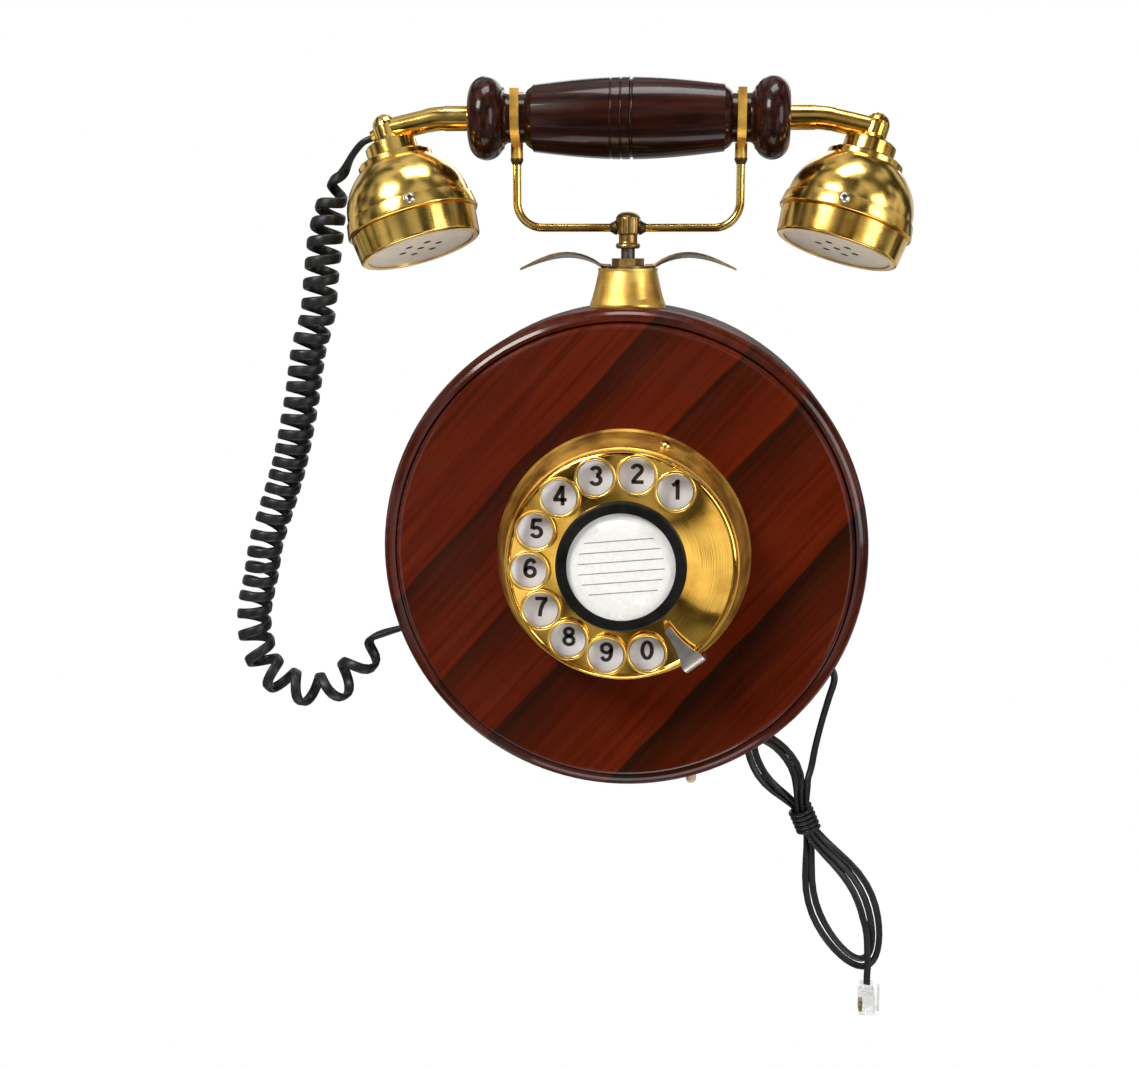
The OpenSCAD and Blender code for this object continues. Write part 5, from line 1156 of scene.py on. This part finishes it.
def grip():
    end = []
    for u in SHOULDER_SHARES:
        along = BARREL_HALF + SHOULDER_L * math.sin(math.pi / 2 * u)
        end.append((GRIP_NECK_R + SHOULDER_W * (1 - u), along))
    for i in range(FLARE_RINGS + 1):
        a = math.pi / 2 * i / FLARE_RINGS
        end.append((GRIP_NECK_R + FLARE_R * (1 - math.cos(a)), FLARE_AT - FLARE_R * (1 - math.sin(a))))
    end += [(p.y, p.x) for p in bow(KNOB_AT, GRIP_NECK_R, KNOB_R, KNOB_R, KNOB_START, 0, KNOB_RINGS)]
    side = [(r, -x) for r, x in reversed(end)] + [barrel(x) for x in barrel_places()] + end
    at = Matrix.Translation(HANDSET_AT) @ HANDSET_ROLL @ place((0, 0, 0), RIGHT, UP)
    piece = add_mesh("grip_turned", *turned(side, at, GRIP_STEPS), grip_wood, edge=GRIP_EDGE)
    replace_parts(ride(piece, "handset"), "grip")


case_slots()
bell_slots()
bells()
grip()

# Solder at the fork's joints, beside the thimble and below the saddles: outlines of (radius, height)
SOLDER_STEPS = 32
FORK_Y = -30
ROD_SOLDER_X = 4.4
ROD_SOLDER_Z = 126.4
ROD_SOLDER = [(2.9, 0), (2.8, 0.7), (2.2, 1.6), (1.75, 2.6)]
SADDLE_SOLDER_X = 44
SADDLE_SOLDER_Z = 152.4
SADDLE_SOLDER = [(1.75, -1.6), (2.1, -0.9), (2.5, 0), (2.55, 0.7), (2.2, 1.2)]


def solder():
    shapes = []
    for side in (-1, 1):
        at = place((side * ROD_SOLDER_X, FORK_Y, ROD_SOLDER_Z), (side, 0, 0), UP)
        shapes.append(turned(ROD_SOLDER, at, SOLDER_STEPS))
        at = place((side * SADDLE_SOLDER_X, FORK_Y, SADDLE_SOLDER_Z), UP)
        shapes.append(turned(SADDLE_SOLDER, at, SOLDER_STEPS))
    ride(add_mesh("fork_solder", *joined(shapes), solder_dark), "hook")


solder()

# Stage: a white room and soft lights. In reflections the room has light and dark patches, and it is dimmed
# on the side that the flat face mirrors
ROOM_SCALE = 3.4
ROOM_BAND = (0.45, 0.61)
ROOM_DARK = (0.04, 0.033, 0.027)
ROOM_LIGHT = (1.0, 0.98, 0.95)
ROOM_POWER = 0.7
DIM_SIDE = (0, -0.985, -0.17)
DIM_BAND = (0.88, 0.97)
DIM_SHARE = 0.2


def add_world():
    world = bpy.data.worlds.new("room")
    world.use_nodes = True
    SCENE.world = world
    room = Nodes(world.node_tree, "Generated")
    patches = room.noise(ROOM_SCALE, detail=2.0, rough=0.5)
    colour = room.fade(patches, ROOM_BAND, ROOM_DARK, ROOM_LIGHT)
    shade = room.spread(room.vector("DOT_PRODUCT", room.where, DIM_SIDE), 1.0, DIM_SHARE, DIM_BAND)
    mirrored = room.nodes["Background"]
    room.link(room.vector("MULTIPLY", colour, shade), mirrored.inputs["Color"])
    mirrored.inputs["Strength"].default_value = ROOM_POWER
    white = room.nodes.new("ShaderNodeBackground")
    white.inputs["Color"].default_value = (*WHITE, 1)
    white.inputs["Strength"].default_value = 1.0
    mix = room.nodes.new("ShaderNodeMixShader")
    room.link(room.nodes.new("ShaderNodeLightPath").outputs["Is Camera Ray"], mix.inputs["Fac"])
    room.link(mirrored.outputs["Background"], mix.inputs[1])
    room.link(white.outputs["Background"], mix.inputs[2])
    room.link(mix.outputs["Shader"], room.nodes["World Output"].inputs["Surface"])


# Lights: name, place and size in metres, power in watts and colour
LIGHT_AIM = Vector((0, -0.03, 0.03))
WARM = (1.0, 0.97, 0.93)
WARM_CARD = (1.0, 0.98, 0.94)
LIGHTS = [
    ("key", (-0.75, -1.0, 0.95), (0.5, 0.5), 19, WARM),
    ("fill", (1.1, -0.9, 0.25), (0.5, 0.9), 7, WHITE),
    ("top", (0.1, -0.2, 1.3), (0.7, 0.4), 9, WHITE),
    ("card_right", (0.52, -0.95, -0.15), (0.36, 0.6), 0.7, WARM_CARD),
    ("card_left", (-0.52, -0.95, -0.15), (0.36, 0.6), 0.5, WARM_CARD),
    ("below", (0.05, -0.35, -0.9), (0.8, 0.5), 4, WARM),
    ("rear", (0.2, 1.2, 0.7), (0.9, 0.6), 3, WHITE),
]


def add_light(name, at, size, power, colour):
    data = bpy.data.lights.new(name, "AREA")
    data.shape = "RECTANGLE"
    data.size, data.size_y = size
    data.energy = power
    data.color = colour
    light = add_object(name, data)
    light.location = at
    light.rotation_euler = facing(Vector(at), LIGHT_AIM)


add_world()
for light in LIGHTS:
    add_light(*light)
SCENE.view_settings.view_transform = "Standard"
